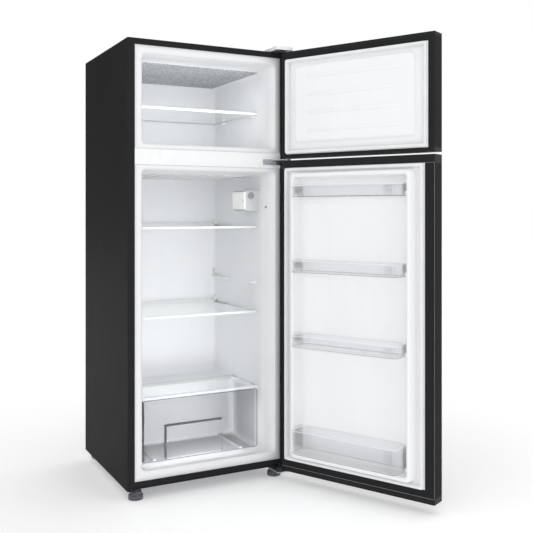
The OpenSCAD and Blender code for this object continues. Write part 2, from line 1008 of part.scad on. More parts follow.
// White inner panel of the freezer door, raised in the middle and crossed by four shallow ribs
module freezer_door_liner() {
    rise = 12;
    panel_z = [1118, 1371];
    placed()
        at_door()
            color(white) {
                difference() {
                    union() {
                        liner_flange(freezer_return, freezer_field);
                        frustum(sym(218), panel_z, door_in - 1,
                                sym(213), widen(panel_z, -5), door_in + rise, 14);
                    }
                    frustum(sym(216), widen(panel_z, -2), door_in - 3,
                            sym(211), widen(panel_z, -7), door_in + rise - liner_t, 12);
                }
                for (i = [0 : 3])
                    slab(sym(168), [door_in + rise - 1, door_in + rise + 1.2],
                         [1152 + 58 * i, 1162 + 58 * i], 4.9);
            }
}

module liner_flange(ret, field) {
    span([-half_w + ret[0] + 0.2, half_w - ret[1] - 0.2], [door_in - liner_t, door_in], widen(field, -0.2));
}

module freezer_door_gasket() {
    placed()
        at_door()
            gasket(freezer_return, freezer_field);
}

module freezer_door_bushes() {
    placed()
        at_door()
            bushes(freezer_door_z);
}

module fridge_door_skin() {
    placed()
        at_door()
            door_skin([fridge_door_z[0] + fridge_cap[0], fridge_door_z[1] - fridge_cap[1]],
                      fridge_return, fridge_field);
}

module fridge_door_caps() {
    placed()
        at_door() {
            door_cap(fridge_door_z[0], fridge_cap[0], 1, false);
            door_cap(fridge_door_z[1], fridge_cap[1], -1, true);
        }
}

module fridge_door_foam() {
    placed()
        at_door()
            door_foam(fridge_door_z, fridge_cap) {
                cap_pocket(fridge_door_z[1], -1, scoop_depth, 2.3);
                slab(sym(recess_half + 2.4), [recess_floor - 2.2, door_in], widen(recess_z, 2.4), 10);
            }
}

// White inner panel of the fridge door: a ridge runs round the recess that holds the bins
module fridge_door_liner() {
    top = door_in + dike_h;
    placed()
        at_door()
            color(white) {
                difference() {
                    union() {
                        liner_flange(fridge_return, fridge_field);
                        frustum(sym(dike_half), dike_z, door_in - 1,
                                sym(dike_half - 4), widen(dike_z, -4), top, 16);
                        recess(2, 0);
                    }
                    recess(0, 1);
                    difference() {
                        frustum(sym(dike_half - 2), widen(dike_z, -2), door_in - 3,
                                sym(dike_half - 6), widen(dike_z, -6), top - liner_t, 14);
                        recess(2, 0);
                    }
                }
                for (z = bin_z) {
                    both_sides()
                        span([bin_half + 3, recess_half + 0.4], stud_y, [z + stud_z[0], z + stud_z[1]]);
                    if (z - 22 > recess_z[0])
                        span(sym(recess_half - 6), [recess_floor - 0.5, recess_floor + 0.7],
                             [z - 22, z - 5]);
                }
            }
}

// Hollow between the ridges; g widens it to the back of the liner, over raises its mouth
module recess(g, over) {
    frustum(sym(recess_half - 2 + g), widen(recess_z, g - 2), recess_floor - g,
            sym(recess_half + g), widen(recess_z, g), door_in + dike_h + over, 10);
}

module fridge_door_gasket() {
    placed()
        at_door()
            gasket(fridge_return, fridge_field);
}

module fridge_door_bushes() {
    placed()
        at_door()
            bushes(fridge_door_z);
}

// Clear bin; a slotted pad at each end drops over a stud on the door's ridge
module door_bin(i) {
    z = bin_z[i];
    h = bin_h[i];
    placed()
        at_door()
            color(clear)
                difference() {
                    union() {
                        prism(sym(bin_half), [bin_back, bin_front], [z, z + h], 16);
                        both_sides()
                            span([bin_half - 12, bin_half + 8.5], widen(stud_y, 7), [z, z + h + 4]);
                    }
                    prism(sym(bin_half - clear_t), [bin_back + clear_t, bin_front - clear_t],
                          [z + clear_t, z + h + 10], 14);
                    both_sides()
                        span([bin_half + 2.6, bin_half + 10], widen(stud_y, 0.3),
                             [z - 1, z + stud_z[1] + 0.2]);
                }
}

// ---------- feet and rollers ----------

module foot(x) {
    placed()
        color([0.33, 0.32, 0.36])
            difference() {
                translate([x, foot_y, 0]) {
                    cylinder(r = 23, h = 13);
                    cylinder(r = 18.5, h = 24);
                    cylinder(r = 9, h = 27.6);
                    cylinder(r = stud_r, h = floor_sheet_z - 1);
                }
                for (a = [0 : 30 : 330])
                    translate([x, foot_y, 2])
                        rotate([0, 0, a])
                            translate([24.5, 0, 0])
                                cylinder(r = 2.8, h = 12);
            }
}

module roller(x) {
    placed()
        color([0.2, 0.2, 0.2])
            translate([x - 10, roller_y, roller_r])
                rotate([0, 90, 0])
                    difference() {
                        cylinder(r = roller_r, h = 20);
                        translate([0, 0, -1])
                            cylinder(r = axle_r + 0.06, h = 22);
                    }
}

outer_wrapper();
back_panel();
bottom_panel();
front_crossbar();
base_rails();
cabinet_foam();
freezer_liner();
fridge_liner();
fridge_walls();
shelf_ledges();
mullion_cover();
evaporator_plate();
top_hinge();
top_hinge_cover();
middle_hinge();
bottom_hinge();
fasteners();
control_housing();
lamp_cover();
lamp_bulb();
thermostat_knob();
switch_housing();
switch_plunger();
compressor();
compressor_plate();
compressor_grommets();
relay_cover();
evaporating_tray();
drain_tube();
refrigerant_pipes();
cord_gland();
shelf_glass(freezer_shelf_z);  // freezer_shelf_glass
shelf_trims(freezer_shelf_z);  // freezer_shelf_trims
shelf_glass(fridge_shelf_z[0]);  // upper_shelf_glass
shelf_trims(fridge_shelf_z[0]);  // upper_shelf_trims
shelf_glass(fridge_shelf_z[1]);  // lower_shelf_glass
shelf_trims(fridge_shelf_z[1]);  // lower_shelf_trims
crisper_glass();
crisper_glass_trim();
crisper_drawer();
freezer_door_skin();
freezer_door_caps();
freezer_door_foam();
freezer_door_liner();
freezer_door_gasket();
freezer_door_bushes();
fridge_door_skin();
fridge_door_caps();
fridge_door_foam();
fridge_door_liner();
fridge_door_gasket();
fridge_door_bushes();
door_bin(0);  // door_bin_1
door_bin(1);  // door_bin_2
door_bin(2);  // door_bin_3
door_bin(3);  // door_bin_4
foot(-foot_x);  // front_foot_left
foot(foot_x);  // front_foot_right
roller(-roller_x);  // rear_roller_left
roller(roller_x);  // rear_roller_right
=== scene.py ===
import json
import math

import bmesh
import bpy
from mathutils import Matrix, Vector


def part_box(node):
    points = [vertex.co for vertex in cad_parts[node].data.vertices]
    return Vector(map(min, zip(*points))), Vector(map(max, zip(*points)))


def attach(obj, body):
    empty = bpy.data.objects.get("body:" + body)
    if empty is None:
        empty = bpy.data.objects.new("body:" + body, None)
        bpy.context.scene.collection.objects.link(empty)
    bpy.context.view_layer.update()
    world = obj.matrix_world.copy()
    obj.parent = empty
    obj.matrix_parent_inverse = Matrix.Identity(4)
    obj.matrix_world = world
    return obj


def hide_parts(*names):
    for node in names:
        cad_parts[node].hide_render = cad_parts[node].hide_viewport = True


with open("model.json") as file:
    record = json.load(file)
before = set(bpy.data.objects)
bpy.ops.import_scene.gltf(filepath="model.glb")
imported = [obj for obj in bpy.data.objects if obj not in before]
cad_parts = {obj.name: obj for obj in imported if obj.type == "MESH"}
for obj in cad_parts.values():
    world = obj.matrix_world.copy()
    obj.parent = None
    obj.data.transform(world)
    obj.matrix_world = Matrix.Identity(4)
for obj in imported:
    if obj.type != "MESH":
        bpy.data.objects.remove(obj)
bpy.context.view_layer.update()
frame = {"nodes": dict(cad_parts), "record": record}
scene = bpy.context.scene

MM = 0.001
# Pieces are drawn about the middle of the cabinet; the frame's origin is under the right front foot
HOME = Matrix.Translation((-0.243, 0.226, 0.0))
joints = {j["name"]: j for j in frame["record"]["behaviour"]["joints"]}
door_hinge = joints["fridge_door_hinge"]
PIN = HOME.inverted() @ Vector(door_hinge["pos_m"])
SWING = math.radians(-door_hinge["range_deg"][0])
TO_OPEN_DOOR = Matrix.Translation(PIN) @ Matrix.Rotation(SWING, 4, "Z") @ Matrix.Translation(-PIN)

# ---------------------------------------------------------------- camera, floor and light

# The black flag of the studio: where it stands, the soft edge of its cosine, its brightness
FLAG_WAY = (-0.27, 0.96, 0.0)
FLAG_EDGE = (0.55, 0.86)
FLAG_LEVEL = 0.05


def place_camera():
    data = bpy.data.cameras.new("front_three_quarter")
    data.lens = 53.94
    data.sensor_width = 36.0
    data.shift_x = -0.0233
    data.shift_y = -0.1032
    data.clip_end = 50.0
    camera = bpy.data.objects.new("front_three_quarter", data)
    camera.location = HOME @ Vector((-1.0194, -2.6322, 0.8939))
    camera.rotation_euler = (math.radians(90), 0, math.radians(-28.05))
    scene.collection.objects.link(camera)
    scene.camera = camera


def soft_lamp(name, place, aim, size, power):
    data = bpy.data.lights.new(name, "AREA")
    data.shape = "RECTANGLE"
    data.size, data.size_y = size
    data.energy = power
    lamp = bpy.data.objects.new(name, data)
    lamp.location = HOME @ Vector(place)
    lamp.rotation_euler = (Vector(aim) - Vector(place)).to_track_quat("-Z", "Y").to_euler()
    scene.collection.objects.link(lamp)
    return lamp


def light_studio():
    """White cove with a black flag behind its left side, a front box and soft fills at both mouths."""
    world = bpy.data.worlds.new("white_cove")
    world.use_nodes = True
    tree = world.node_tree
    sky = tree.nodes["Background"]
    sky.inputs["Strength"].default_value = 1.0
    way = tree.nodes.new("ShaderNodeTexCoord").outputs["Generated"]
    toward = tree.nodes.new("ShaderNodeVectorMath")
    toward.operation = "DOT_PRODUCT"
    toward.inputs[1].default_value = FLAG_WAY
    flag = tree.nodes.new("ShaderNodeMapRange")
    flag.interpolation_type = "SMOOTHSTEP"
    flag.inputs["From Min"].default_value = FLAG_EDGE[0]
    flag.inputs["From Max"].default_value = FLAG_EDGE[1]
    flag.inputs["To Min"].default_value = 1.0
    flag.inputs["To Max"].default_value = FLAG_LEVEL
    seen = tree.nodes.new("ShaderNodeMath")
    seen.operation = "MAXIMUM"
    tree.links.new(way, toward.inputs[0])
    tree.links.new(toward.outputs["Value"], flag.inputs["Value"])
    tree.links.new(flag.outputs["Result"], seen.inputs[0])
    tree.links.new(tree.nodes.new("ShaderNodeLightPath").outputs["Is Camera Ray"], seen.inputs[1])
    tree.links.new(seen.outputs[0], sky.inputs["Color"])
    scene.world = world
    scene.view_settings.view_transform = "Standard"
    soft_lamp("big_front_box", (-1.9, -3.4, 2.1), (0.1, 0.0, 0.75), (2.4, 2.4), 5)
    soft_lamp("door_filler", (0.9, -2.9, 1.6), (0.2, 0.0, 0.8), (1.4, 2.0), 2.2)
    fill_mouth("freezer_fill", (-0.02, -0.235, 1.245), (0.38, 0.20), 0.40, 130)
    fill_mouth("fridge_fill", (-0.02, -0.235, 0.66), (0.36, 0.70), 0.36, 100)
    fill_mouth("crisper_fill", (-0.02, -0.235, 0.16), (0.36, 0.12), 0.42, 140)


def fill_mouth(name, place, size, power, spread):
    """Card of light at a compartment's mouth, which lights only what is inside."""
    lamp = soft_lamp(name, place, (place[0], 1.0, place[2]), size, power)
    lamp.data.spread = math.radians(spread)
    lamp.visible_camera = False
    lamp.visible_glossy = False
    lamp.visible_transmission = False


place_camera()
light_studio()

# ---------------------------------------------------------------- shader node groups


def start_group(name, inputs, outputs):
    group = bpy.data.node_groups.new(name, "ShaderNodeTree")
    for label, kind, value in inputs:
        group.interface.new_socket(name=label, in_out="INPUT", socket_type=kind).default_value = value
    for label, kind in outputs:
        group.interface.new_socket(name=label, in_out="OUTPUT", socket_type=kind)
    return group, group.nodes.new("NodeGroupInput").outputs, group.nodes.new("NodeGroupOutput").inputs


class Bench:
    """Adds nodes to one tree; a socket given for an input is linked, anything else is its value."""

    def __init__(self, tree):
        self.tree = tree

    def node(self, kind, settings=None, **inputs):
        made = self.tree.nodes.new("ShaderNode" + kind)
        for key, value in (settings or {}).items():
            setattr(made, key, value)
        for key, value in inputs.items():
            numbered = key[0] == "_" and key[1:].isdigit()
            self.feed(made.inputs[int(key[1:]) if numbered else key.replace("_", " ")], value)
        return made

    def feed(self, socket, value):
        if isinstance(value, bpy.types.NodeSocket):
            self.tree.links.new(value, socket)
        else:
            socket.default_value = value

    def maths(self, how, a, b=0.0, c=0.0):
        return self.node("Math", {"operation": how}, _0=a, _1=b, _2=c).outputs[0]

    def blend(self, share, a, b):
        made = self.node("Mix", {"data_type": "RGBA"}, _0=share)
        self.feed(made.inputs[6], a)
        self.feed(made.inputs[7], b)
        return made.outputs[2]

    def spread(self, value, low, high, to_low=0.0, to_high=1.0):
        made = self.node("MapRange", None, Value=value, From_Min=low, From_Max=high, To_Min=to_low,
                         To_Max=to_high)
        return made.outputs[0]

    def noise(self, where, scale, detail=2.0, rough=0.5):
        made = self.node("TexNoise", None, Vector=where, Scale=scale, Detail=detail, Roughness=rough)
        return made.outputs["Fac"]

    def stretched(self, where, scale):
        return self.node("VectorMath", {"operation": "MULTIPLY"}, _0=where, _1=scale).outputs[0]

    def object_place(self):
        return self.node("TexCoord").outputs["Object"]


FLOAT, COLOUR = "NodeSocketFloat", "NodeSocketColor"


def group_tone():
    """Slow patches and faint upright draw lines in colour and gloss."""
    group, given, result = start_group(
        "moulding_tone",
        [("Tone A", COLOUR, (1, 1, 1, 1)), ("Tone B", COLOUR, (1, 1, 1, 1)), ("Patch Scale", FLOAT, 6.0),
         ("Draw Lines", FLOAT, 0.2), ("Rough Low", FLOAT, 0.3), ("Rough High", FLOAT, 0.4)],
        [("Color", COLOUR), ("Roughness", FLOAT)])
    b = Bench(group)
    place = b.object_place()
    patch = b.noise(place, given["Patch Scale"], 4.0, 0.6)
    lines = b.noise(b.stretched(place, (90.0, 90.0, 2.5)), 1.0, 3.0)
    drawn = b.maths("MULTIPLY_ADD", b.maths("SUBTRACT", lines, 0.5), given["Draw Lines"], patch)
    share = b.spread(drawn, 0.3, 0.7)
    b.feed(result["Color"], b.blend(share, given["Tone A"], given["Tone B"]))
    smear = b.noise(b.stretched(place, (14.0, 14.0, 7.0)), 1.0, 5.0, 0.65)
    span = b.maths("SUBTRACT", given["Rough High"], given["Rough Low"])
    gloss = b.maths("MULTIPLY_ADD", b.spread(smear, 0.35, 0.7), span, given["Rough Low"])
    b.feed(result["Roughness"], gloss)
    return group


def group_grain():
    """Height of a fine moulded or sprayed surface: pores over a slower orange peel."""
    group, given, result = start_group(
        "surface_grain",
        [("Grain Scale", FLOAT, 900.0), ("Peel Scale", FLOAT, 120.0), ("Peel Share", FLOAT, 0.5)],
        [("Height", FLOAT)])
    b = Bench(group)
    place = b.object_place()
    pores = b.node("TexVoronoi", None, Vector=place, Scale=given["Grain Scale"]).outputs["Distance"]
    peel = b.noise(place, given["Peel Scale"], 3.0, 0.55)
    mixed = b.node("Mix", {"data_type": "FLOAT"}, _0=given["Peel Share"])
    b.feed(mixed.inputs[2], pores)
    b.feed(mixed.inputs[3], peel)
    b.feed(result["Height"], mixed.outputs[0])
    return group


def group_edge_rub():
    """Mask of rubbed edges, broken up by scuffs."""
    group, given, result = start_group("edge_rub", [("Reach", FLOAT, 0.0015)], [("Mask", FLOAT)])
    b = Bench(group)
    place = b.object_place()
    round_normal = b.node("Bevel", {"samples": 4}, Radius=given["Reach"]).outputs[0]
    flat_normal = b.node("NewGeometry").outputs["Normal"]
    turn = b.node("VectorMath", {"operation": "DOT_PRODUCT"}, _0=round_normal, _1=flat_normal)
    edge = b.spread(turn.outputs["Value"], 0.995, 0.86)
    scuff = b.spread(b.noise(place, 55.0, 6.0, 0.7), 0.42, 0.62)
    b.feed(result["Mask"], b.maths("MULTIPLY", edge, scuff))
    return group


def group_dust():
    """Mask of dust that settles on what faces up."""
    group, given, result = start_group("settled_dust", [("Amount", FLOAT, 0.2)], [("Mask", FLOAT)])
    b = Bench(group)
    up = b.node("SeparateXYZ", None, Vector=b.node("NewGeometry").outputs["Normal"]).outputs["Z"]
    flecks = b.spread(b.noise(b.object_place(), 38.0, 8.0, 0.72), 0.38, 0.75)
    settled = b.maths("MULTIPLY", b.spread(up, 0.35, 0.95), flecks)
    b.feed(result["Mask"], b.maths("MULTIPLY", settled, given["Amount"]))
    return group


def group_brush():
    """Rolling lines of plated or drawn metal: a mask for colour and gloss, and their height."""
    group, given, result = start_group(
        "rolling_lines", [("Line Scale", FLOAT, 400.0)], [("Mask", FLOAT), ("Height", FLOAT)])
    b = Bench(group)
    place = b.object_place()
    scaled = b.node("VectorMath", {"operation": "SCALE"}, _0=place, Scale=given["Line Scale"]).outputs[0]
    lines = b.noise(b.stretched(scaled, (0.04, 1.0, 1.0)), 1.0, 4.0, 0.6)
    spangle = b.node("TexVoronoi", None, Vector=place, Scale=150.0).outputs["Color"]
    fleck = b.node("SeparateColor", None, Color=spangle).outputs["Red"]
    b.feed(result["Mask"], b.maths("MULTIPLY_ADD", fleck, 0.35, b.maths("MULTIPLY", lines, 0.65)))
    b.feed(result["Height"], lines)
    return group


GROUPS = {"tone": group_tone(), "grain": group_grain(), "rub": group_edge_rub(), "dust": group_dust(),
          "brush": group_brush()}

# ---------------------------------------------------------------- materials

DUST_TONE = (0.42, 0.40, 0.37, 1)


def placed(b, name, **inputs):
    made = b.node("Group", {"node_tree": GROUPS[name]})
    for key, value in inputs.items():
        b.feed(made.inputs[key.replace("_", " ")], value)
    return made.outputs


def start_material(name):
    material = bpy.data.materials.new(name)
    material.use_nodes = True
    tree = material.node_tree
    tree.nodes.clear()
    b = Bench(tree)
    shader = b.node("BsdfPrincipled")
    output = b.node("OutputMaterial")
    tree.links.new(shader.outputs[0], output.inputs["Surface"])
    return material, b, shader, output


def rgba(tone):
    return (*tone, 1.0)


def finish(name, tones, rough, patch=6.0, lines=0.2, grain=900.0, peel=120.0, peel_share=0.5, depth=0.02,
           metal=0.0, coat=0.0, specular=0.5, rub=None, dust=0.0, soft=0.0):
    """An opaque finish: toned, grained, with rubbed edges and dust where it gathers."""
    material, b, shader, _ = start_material(name)
    tone = placed(b, "tone", Tone_A=rgba(tones[0]), Tone_B=rgba(tones[1]), Patch_Scale=patch,
                  Draw_Lines=lines, Rough_Low=rough[0], Rough_High=rough[1])
    colour = tone["Color"]
    if rub:
        colour = b.blend(placed(b, "rub", Reach=0.0016)["Mask"], colour, rgba(rub))
    if dust:
        colour = b.blend(placed(b, "dust", Amount=dust)["Mask"], colour, DUST_TONE)
    b.feed(shader.inputs["Base Color"], colour)
    b.feed(shader.inputs["Roughness"], tone["Roughness"])
    shader.inputs["Metallic"].default_value = metal
    shader.inputs["Coat Weight"].default_value = coat
    shader.inputs["Coat Roughness"].default_value = 0.15
    shader.inputs["Specular IOR Level"].default_value = specular
    if soft:
        shader.inputs["Sheen Weight"].default_value = soft
    height = placed(b, "grain", Grain_Scale=grain, Peel_Scale=peel, Peel_Share=peel_share)["Height"]
    bump = b.node("Bump", None, Strength=depth * 10, Distance=0.0006, Height=height)
    b.feed(shader.inputs["Normal"], bump.outputs[0])
    return material


def plated(name, tones, rough, lines=420.0, dust=0.0):
    """Zinc, copper or aluminium with rolling lines."""
    material, b, shader, _ = start_material(name)
    brush = placed(b, "brush", Line_Scale=lines)
    colour = b.blend(b.spread(brush["Mask"], 0.25, 0.7), rgba(tones[0]), rgba(tones[1]))
    if dust:
        colour = b.blend(placed(b, "dust", Amount=dust)["Mask"], colour, DUST_TONE)
    b.feed(shader.inputs["Base Color"], colour)
    b.feed(shader.inputs["Roughness"], b.spread(brush["Mask"], 0.2, 0.8, rough[0], rough[1]))
    shader.inputs["Metallic"].default_value = 1.0
    bump = b.node("Bump", None, Strength=0.25, Distance=0.0003, Height=brush["Height"])
    b.feed(shader.inputs["Normal"], bump.outputs[0])
    return material


def stippled_plate(name):
    """Pressed stipple of the cooling plate, its peaks painted paler and its hollows darker as a painted
    highlight and painted shade.
    """
    material, b, shader, _ = start_material(name)
    place = b.object_place()
    pips = b.node("TexVoronoi", {"feature": "SMOOTH_F1"}, Vector=place, Scale=110.0, Smoothness=0.3)
    peaks = b.spread(pips.outputs["Distance"], 0.15, 0.6, 1.0, 0.0)
    cloud = b.noise(place, 9.0, 3.0)
    # Pale peaks over dark grey hollows: painted highlight and painted shade of the stipple; the dark grey
    # is partly painted shade of the downward-facing ceiling
    tone = b.blend(b.maths("MULTIPLY_ADD", cloud, 0.4, b.maths("MULTIPLY", peaks, 0.6)),
                   (0.27, 0.285, 0.305, 1), (0.66, 0.675, 0.70, 1))
    b.feed(shader.inputs["Base Color"], tone)
    b.feed(shader.inputs["Roughness"], b.spread(peaks, 0.0, 1.0, 0.62, 0.42))
    bump = b.node("Bump", None, Strength=0.8, Distance=0.0012, Height=peaks)
    b.feed(shader.inputs["Normal"], bump.outputs[0])
    return material


def see_through(name, tones, rough, ior, wave_scale):
    """Clear glass or moulding: a faint tint that varies, ripples, and lamps that shine through."""
    material, b, shader, output = start_material(name)
    place = b.object_place()
    ripple = b.noise(place, wave_scale, 2.0)
    b.feed(shader.inputs["Base Color"], b.blend(ripple, rgba(tones[0]), rgba(tones[1])))
    smear = b.noise(place, 24.0, 6.0, 0.7)
    b.feed(shader.inputs["Roughness"], b.spread(smear, 0.3, 0.75, rough[0], rough[1]))
    shader.inputs["Transmission Weight"].default_value = 1.0
    shader.inputs["IOR"].default_value = ior
    bump = b.node("Bump", None, Strength=0.08, Distance=0.0005, Height=ripple)
    b.feed(shader.inputs["Normal"], bump.outputs[0])
    through = b.node("BsdfTransparent")
    b.feed(through.inputs["Color"], rgba(tones[1]))
    rays = b.node("LightPath").outputs
    lamps = b.maths("MAXIMUM", rays["Is Shadow Ray"], rays["Is Diffuse Ray"])
    mixed = b.node("MixShader", None, _0=lamps)
    b.feed(mixed.inputs[1], shader.outputs[0])
    b.feed(mixed.inputs[2], through.outputs[0])
    b.tree.links.new(mixed.outputs[0], output.inputs["Surface"])
    return material


def milky_clear(name, tint, milk, rough, wave_scale):
    """Thin clear moulding: mostly see-through, whiter and shinier where it is seen edge on."""
    material, b, shader, output = start_material(name)
    place = b.object_place()
    ripple = b.noise(place, wave_scale, 2.0)
    b.feed(shader.inputs["Base Color"], b.blend(ripple, rgba(tint[0]), rgba(tint[1])))
    smear = b.noise(place, 24.0, 6.0, 0.7)
    b.feed(shader.inputs["Roughness"], b.spread(smear, 0.3, 0.75, rough[0], rough[1]))
    bump = b.node("Bump", None, Strength=0.06, Distance=0.0005, Height=ripple)
    b.feed(shader.inputs["Normal"], bump.outputs[0])
    facing = b.node("LayerWeight", None, Blend=0.35)
    b.feed(facing.inputs["Normal"], bump.outputs[0])
    share = b.spread(facing.outputs["Facing"], 0.0, 1.0, milk[0], milk[1])
    rays = b.node("LightPath").outputs
    lamps = b.maths("MAXIMUM", rays["Is Shadow Ray"], rays["Is Diffuse Ray"])
    share = b.maths("MULTIPLY", share, b.maths("SUBTRACT", 1.0, lamps))
    through = b.node("BsdfTransparent")
    b.feed(through.inputs["Color"], rgba((0.985, 0.988, 0.992)))
    mixed = b.node("MixShader", None, _0=share)
    b.feed(mixed.inputs[1], through.outputs[0])
    b.feed(mixed.inputs[2], shader.outputs[0])
    b.tree.links.new(mixed.outputs[0], output.inputs["Surface"])
    return material


FINISHES = {
    "cabinet_paint": finish("satin_black_paint", ((0.0225, 0.0227, 0.0236), (0.0245, 0.0247, 0.0256)),
        (0.42, 0.46), patch=3.0, lines=0.12, grain=2400, peel=420, peel_share=0.7, depth=0.012,
        specular=0.01, rub=(0.07, 0.07, 0.075), dust=0.05),
    "back_sheet": finish("coated_back_sheet", ((0.050, 0.050, 0.053), (0.072, 0.072, 0.075)),
        (0.45, 0.6), patch=5.0, grain=1800, peel=300, depth=0.02, specular=0.35, rub=(0.2, 0.2, 0.2),
        dust=0.2),
    "cap_plastic": finish("grained_black_plastic", ((0.0125, 0.0125, 0.0130), (0.0150, 0.0150, 0.0156)),
        (0.44, 0.52), patch=9.0, grain=1500, peel=200, peel_share=0.25, depth=0.03, specular=0.16,
        rub=(0.05, 0.05, 0.054)),
    "tray_plastic": finish("tray_black_plastic", ((0.018, 0.018, 0.019), (0.034, 0.034, 0.035)),
        (0.5, 0.7), patch=14.0, grain=1200, depth=0.04, dust=0.5),
    "liner": finish("drawn_white_liner", ((0.852, 0.855, 0.872), (0.882, 0.884, 0.898)), (0.32, 0.42),
        patch=4.0, lines=0.35, grain=1400, peel=150, peel_share=0.6, depth=0.012, coat=0.08),
    "door_liner": finish("drawn_white_door_liner", ((0.880, 0.888, 0.900), (0.915, 0.922, 0.930)),
        (0.28, 0.40), patch=3.5, lines=0.35, grain=1400, peel=150, peel_share=0.6, depth=0.012,
        coat=0.08),
    "white_paint": finish("gloss_white_paint", ((0.900, 0.910, 0.910), (0.935, 0.942, 0.940)),
        (0.20, 0.32), patch=5.0, grain=2000, peel=260, peel_share=0.8, depth=0.015, coat=0.2),
    "trim": finish("white_trim_plastic", ((0.860, 0.870, 0.885), (0.915, 0.922, 0.930)), (0.25, 0.38),
        patch=12.0, grain=1300, depth=0.015, coat=0.1),
    "control": finish("control_box_plastic", ((0.620, 0.635, 0.660), (0.680, 0.695, 0.715)),
        (0.34, 0.46), patch=12.0, grain=1700, peel=240, peel_share=0.2, depth=0.03),
    "knob": finish("knob_grey_plastic", ((0.300, 0.312, 0.330), (0.370, 0.382, 0.400)), (0.32, 0.45),
        patch=30.0, grain=1900, depth=0.03, rub=(0.62, 0.63, 0.64)),
    "diffuser": finish("lamp_diffuser_plastic", ((0.920, 0.925, 0.915), (0.965, 0.965, 0.955)),
        (0.18, 0.3), patch=20.0, grain=1500, depth=0.01, coat=0.2),
    "seal": finish("door_seal_vinyl", ((0.800, 0.810, 0.820), (0.870, 0.878, 0.885)), (0.45, 0.6),
        patch=9.0, grain=900, peel=120, depth=0.03, soft=0.15),
    "foam": finish("cut_rigid_foam", ((0.76, 0.62, 0.30), (0.86, 0.74, 0.42)), (0.85, 0.97), patch=30.0,
        grain=420, peel=90, peel_share=0.3, depth=0.2, specular=0.2),
    "foot": finish("grey_foot_plastic", ((0.060, 0.058, 0.078), (0.115, 0.112, 0.135)), (0.35, 0.55),
        patch=40.0, grain=1300, depth=0.04, rub=(0.32, 0.32, 0.35), dust=0.35),
    "nylon": finish("natural_nylon", ((0.70, 0.69, 0.64), (0.80, 0.79, 0.74)), (0.35, 0.5), patch=30.0,
        grain=1500, depth=0.02, dust=0.3),
    "rubber": finish("black_rubber", ((0.012, 0.012, 0.012), (0.026, 0.026, 0.026)), (0.6, 0.8),
        patch=30.0, grain=1100, depth=0.06, dust=0.5),
    "enamel": finish("compressor_enamel", ((0.008, 0.008, 0.009), (0.016, 0.016, 0.017)), (0.12, 0.26),
        patch=8.0, grain=1500, peel=90, peel_share=0.85, depth=0.05, coat=0.4, rub=(0.09, 0.085, 0.08),
        dust=0.35),
    "zinc": plated("zinc_plated_sheet", ((0.36, 0.375, 0.40), (0.58, 0.60, 0.63)), (0.28, 0.46), 380.0,
        dust=0.12),
    "copper": plated("drawn_copper_tube", ((0.58, 0.27, 0.14), (0.84, 0.47, 0.30)), (0.22, 0.42), 600.0,
        dust=0.15),
    "stipple": stippled_plate("stippled_cooling_plate"),
    "shelf_glass": see_through("shelf_glass", ((0.93, 0.965, 0.955), (0.97, 0.985, 0.98)), (0.0, 0.03),
        1.12, 5.0),
    "clear": milky_clear("clear_moulding", ((0.95, 0.957, 0.967), (0.985, 0.987, 0.99)), (0.03, 0.34),
        (0.10, 0.18), 14.0),
    "drawer_clear": milky_clear("drawer_moulding", ((0.95, 0.957, 0.967), (0.985, 0.987, 0.99)),
        (0.0, 0.12), (0.10, 0.18), 14.0),
    "glass_edge": finish("ground_glass_edge", ((0.22, 0.25, 0.255), (0.34, 0.37, 0.375)), (0.25, 0.4),
        patch=18.0, grain=1500, depth=0.02),
    # Light grey of the lines along the black door's fold and cap seams: a painted highlight
    "highlight_line": finish("painted_fold_and_seam_highlight", ((0.20, 0.19, 0.18), (0.33, 0.32, 0.30)), (0.35, 0.5), patch=6.0,
        grain=1500, depth=0.02),
    # Dark grey lines on the clear mouldings: painted shade for the dark refraction at clear edges and for
    # the shadow line under each bin
    "clear_edge_shade": finish("painted_clear_edge_shade", ((0.07, 0.076, 0.086), (0.14, 0.15, 0.165)),
        (0.12, 0.22), patch=18.0, grain=1500, depth=0.01, coat=0.2),
    "clear_rim": finish("frosted_rim", ((0.86, 0.875, 0.89), (0.92, 0.93, 0.94)), (0.15, 0.28),
        patch=18.0, grain=1500, depth=0.01, coat=0.2),
    "bulb": finish("frosted_bulb", ((0.90, 0.88, 0.82), (0.96, 0.95, 0.90)), (0.2, 0.35), patch=40.0,
        depth=0.01),
    "floor": finish("pale_studio_floor", ((0.90, 0.90, 0.90), (0.93, 0.93, 0.93)), (0.75, 0.9),
        patch=1.2, lines=0.0, grain=500, peel=60, depth=0.01, specular=0.1),
}

CAD_FINISH = {
    "outer_wrapper": "cabinet_paint", "back_panel": "back_sheet", "bottom_panel": "zinc",
    "front_crossbar": "cabinet_paint", "base_rails": "zinc", "cabinet_foam": "foam",
    "mullion_cover": "white_paint", "evaporator_plate": "stipple", "top_hinge": "zinc",
    "top_hinge_cover": "trim", "middle_hinge": "zinc", "bottom_hinge": "zinc",
    "control_housing": "control", "lamp_cover": "diffuser", "lamp_bulb": "bulb",
    "switch_housing": "trim", "switch_plunger": "knob", "compressor": "enamel",
    "compressor_plate": "zinc", "compressor_grommets": "rubber", "relay_cover": "tray_plastic",
    "evaporating_tray": "tray_plastic", "drain_tube": "trim", "refrigerant_pipes": "copper",
    "cord_gland": "rubber", "freezer_shelf_glass": "shelf_glass", "upper_shelf_glass": "shelf_glass",
    "lower_shelf_glass": "shelf_glass", "crisper_glass": "shelf_glass",
    "crisper_drawer": "drawer_clear", "freezer_door_skin": "cabinet_paint",
    "freezer_door_caps": "cap_plastic", "freezer_door_foam": "foam", "freezer_door_bushes": "nylon",
    "fridge_door_skin": "cabinet_paint", "fridge_door_caps": "cap_plastic", "fridge_door_foam": "foam",
    "fridge_door_bushes": "nylon", "front_foot_left": "foot", "front_foot_right": "foot",
    "rear_roller_left": "nylon", "rear_roller_right": "nylon",
}
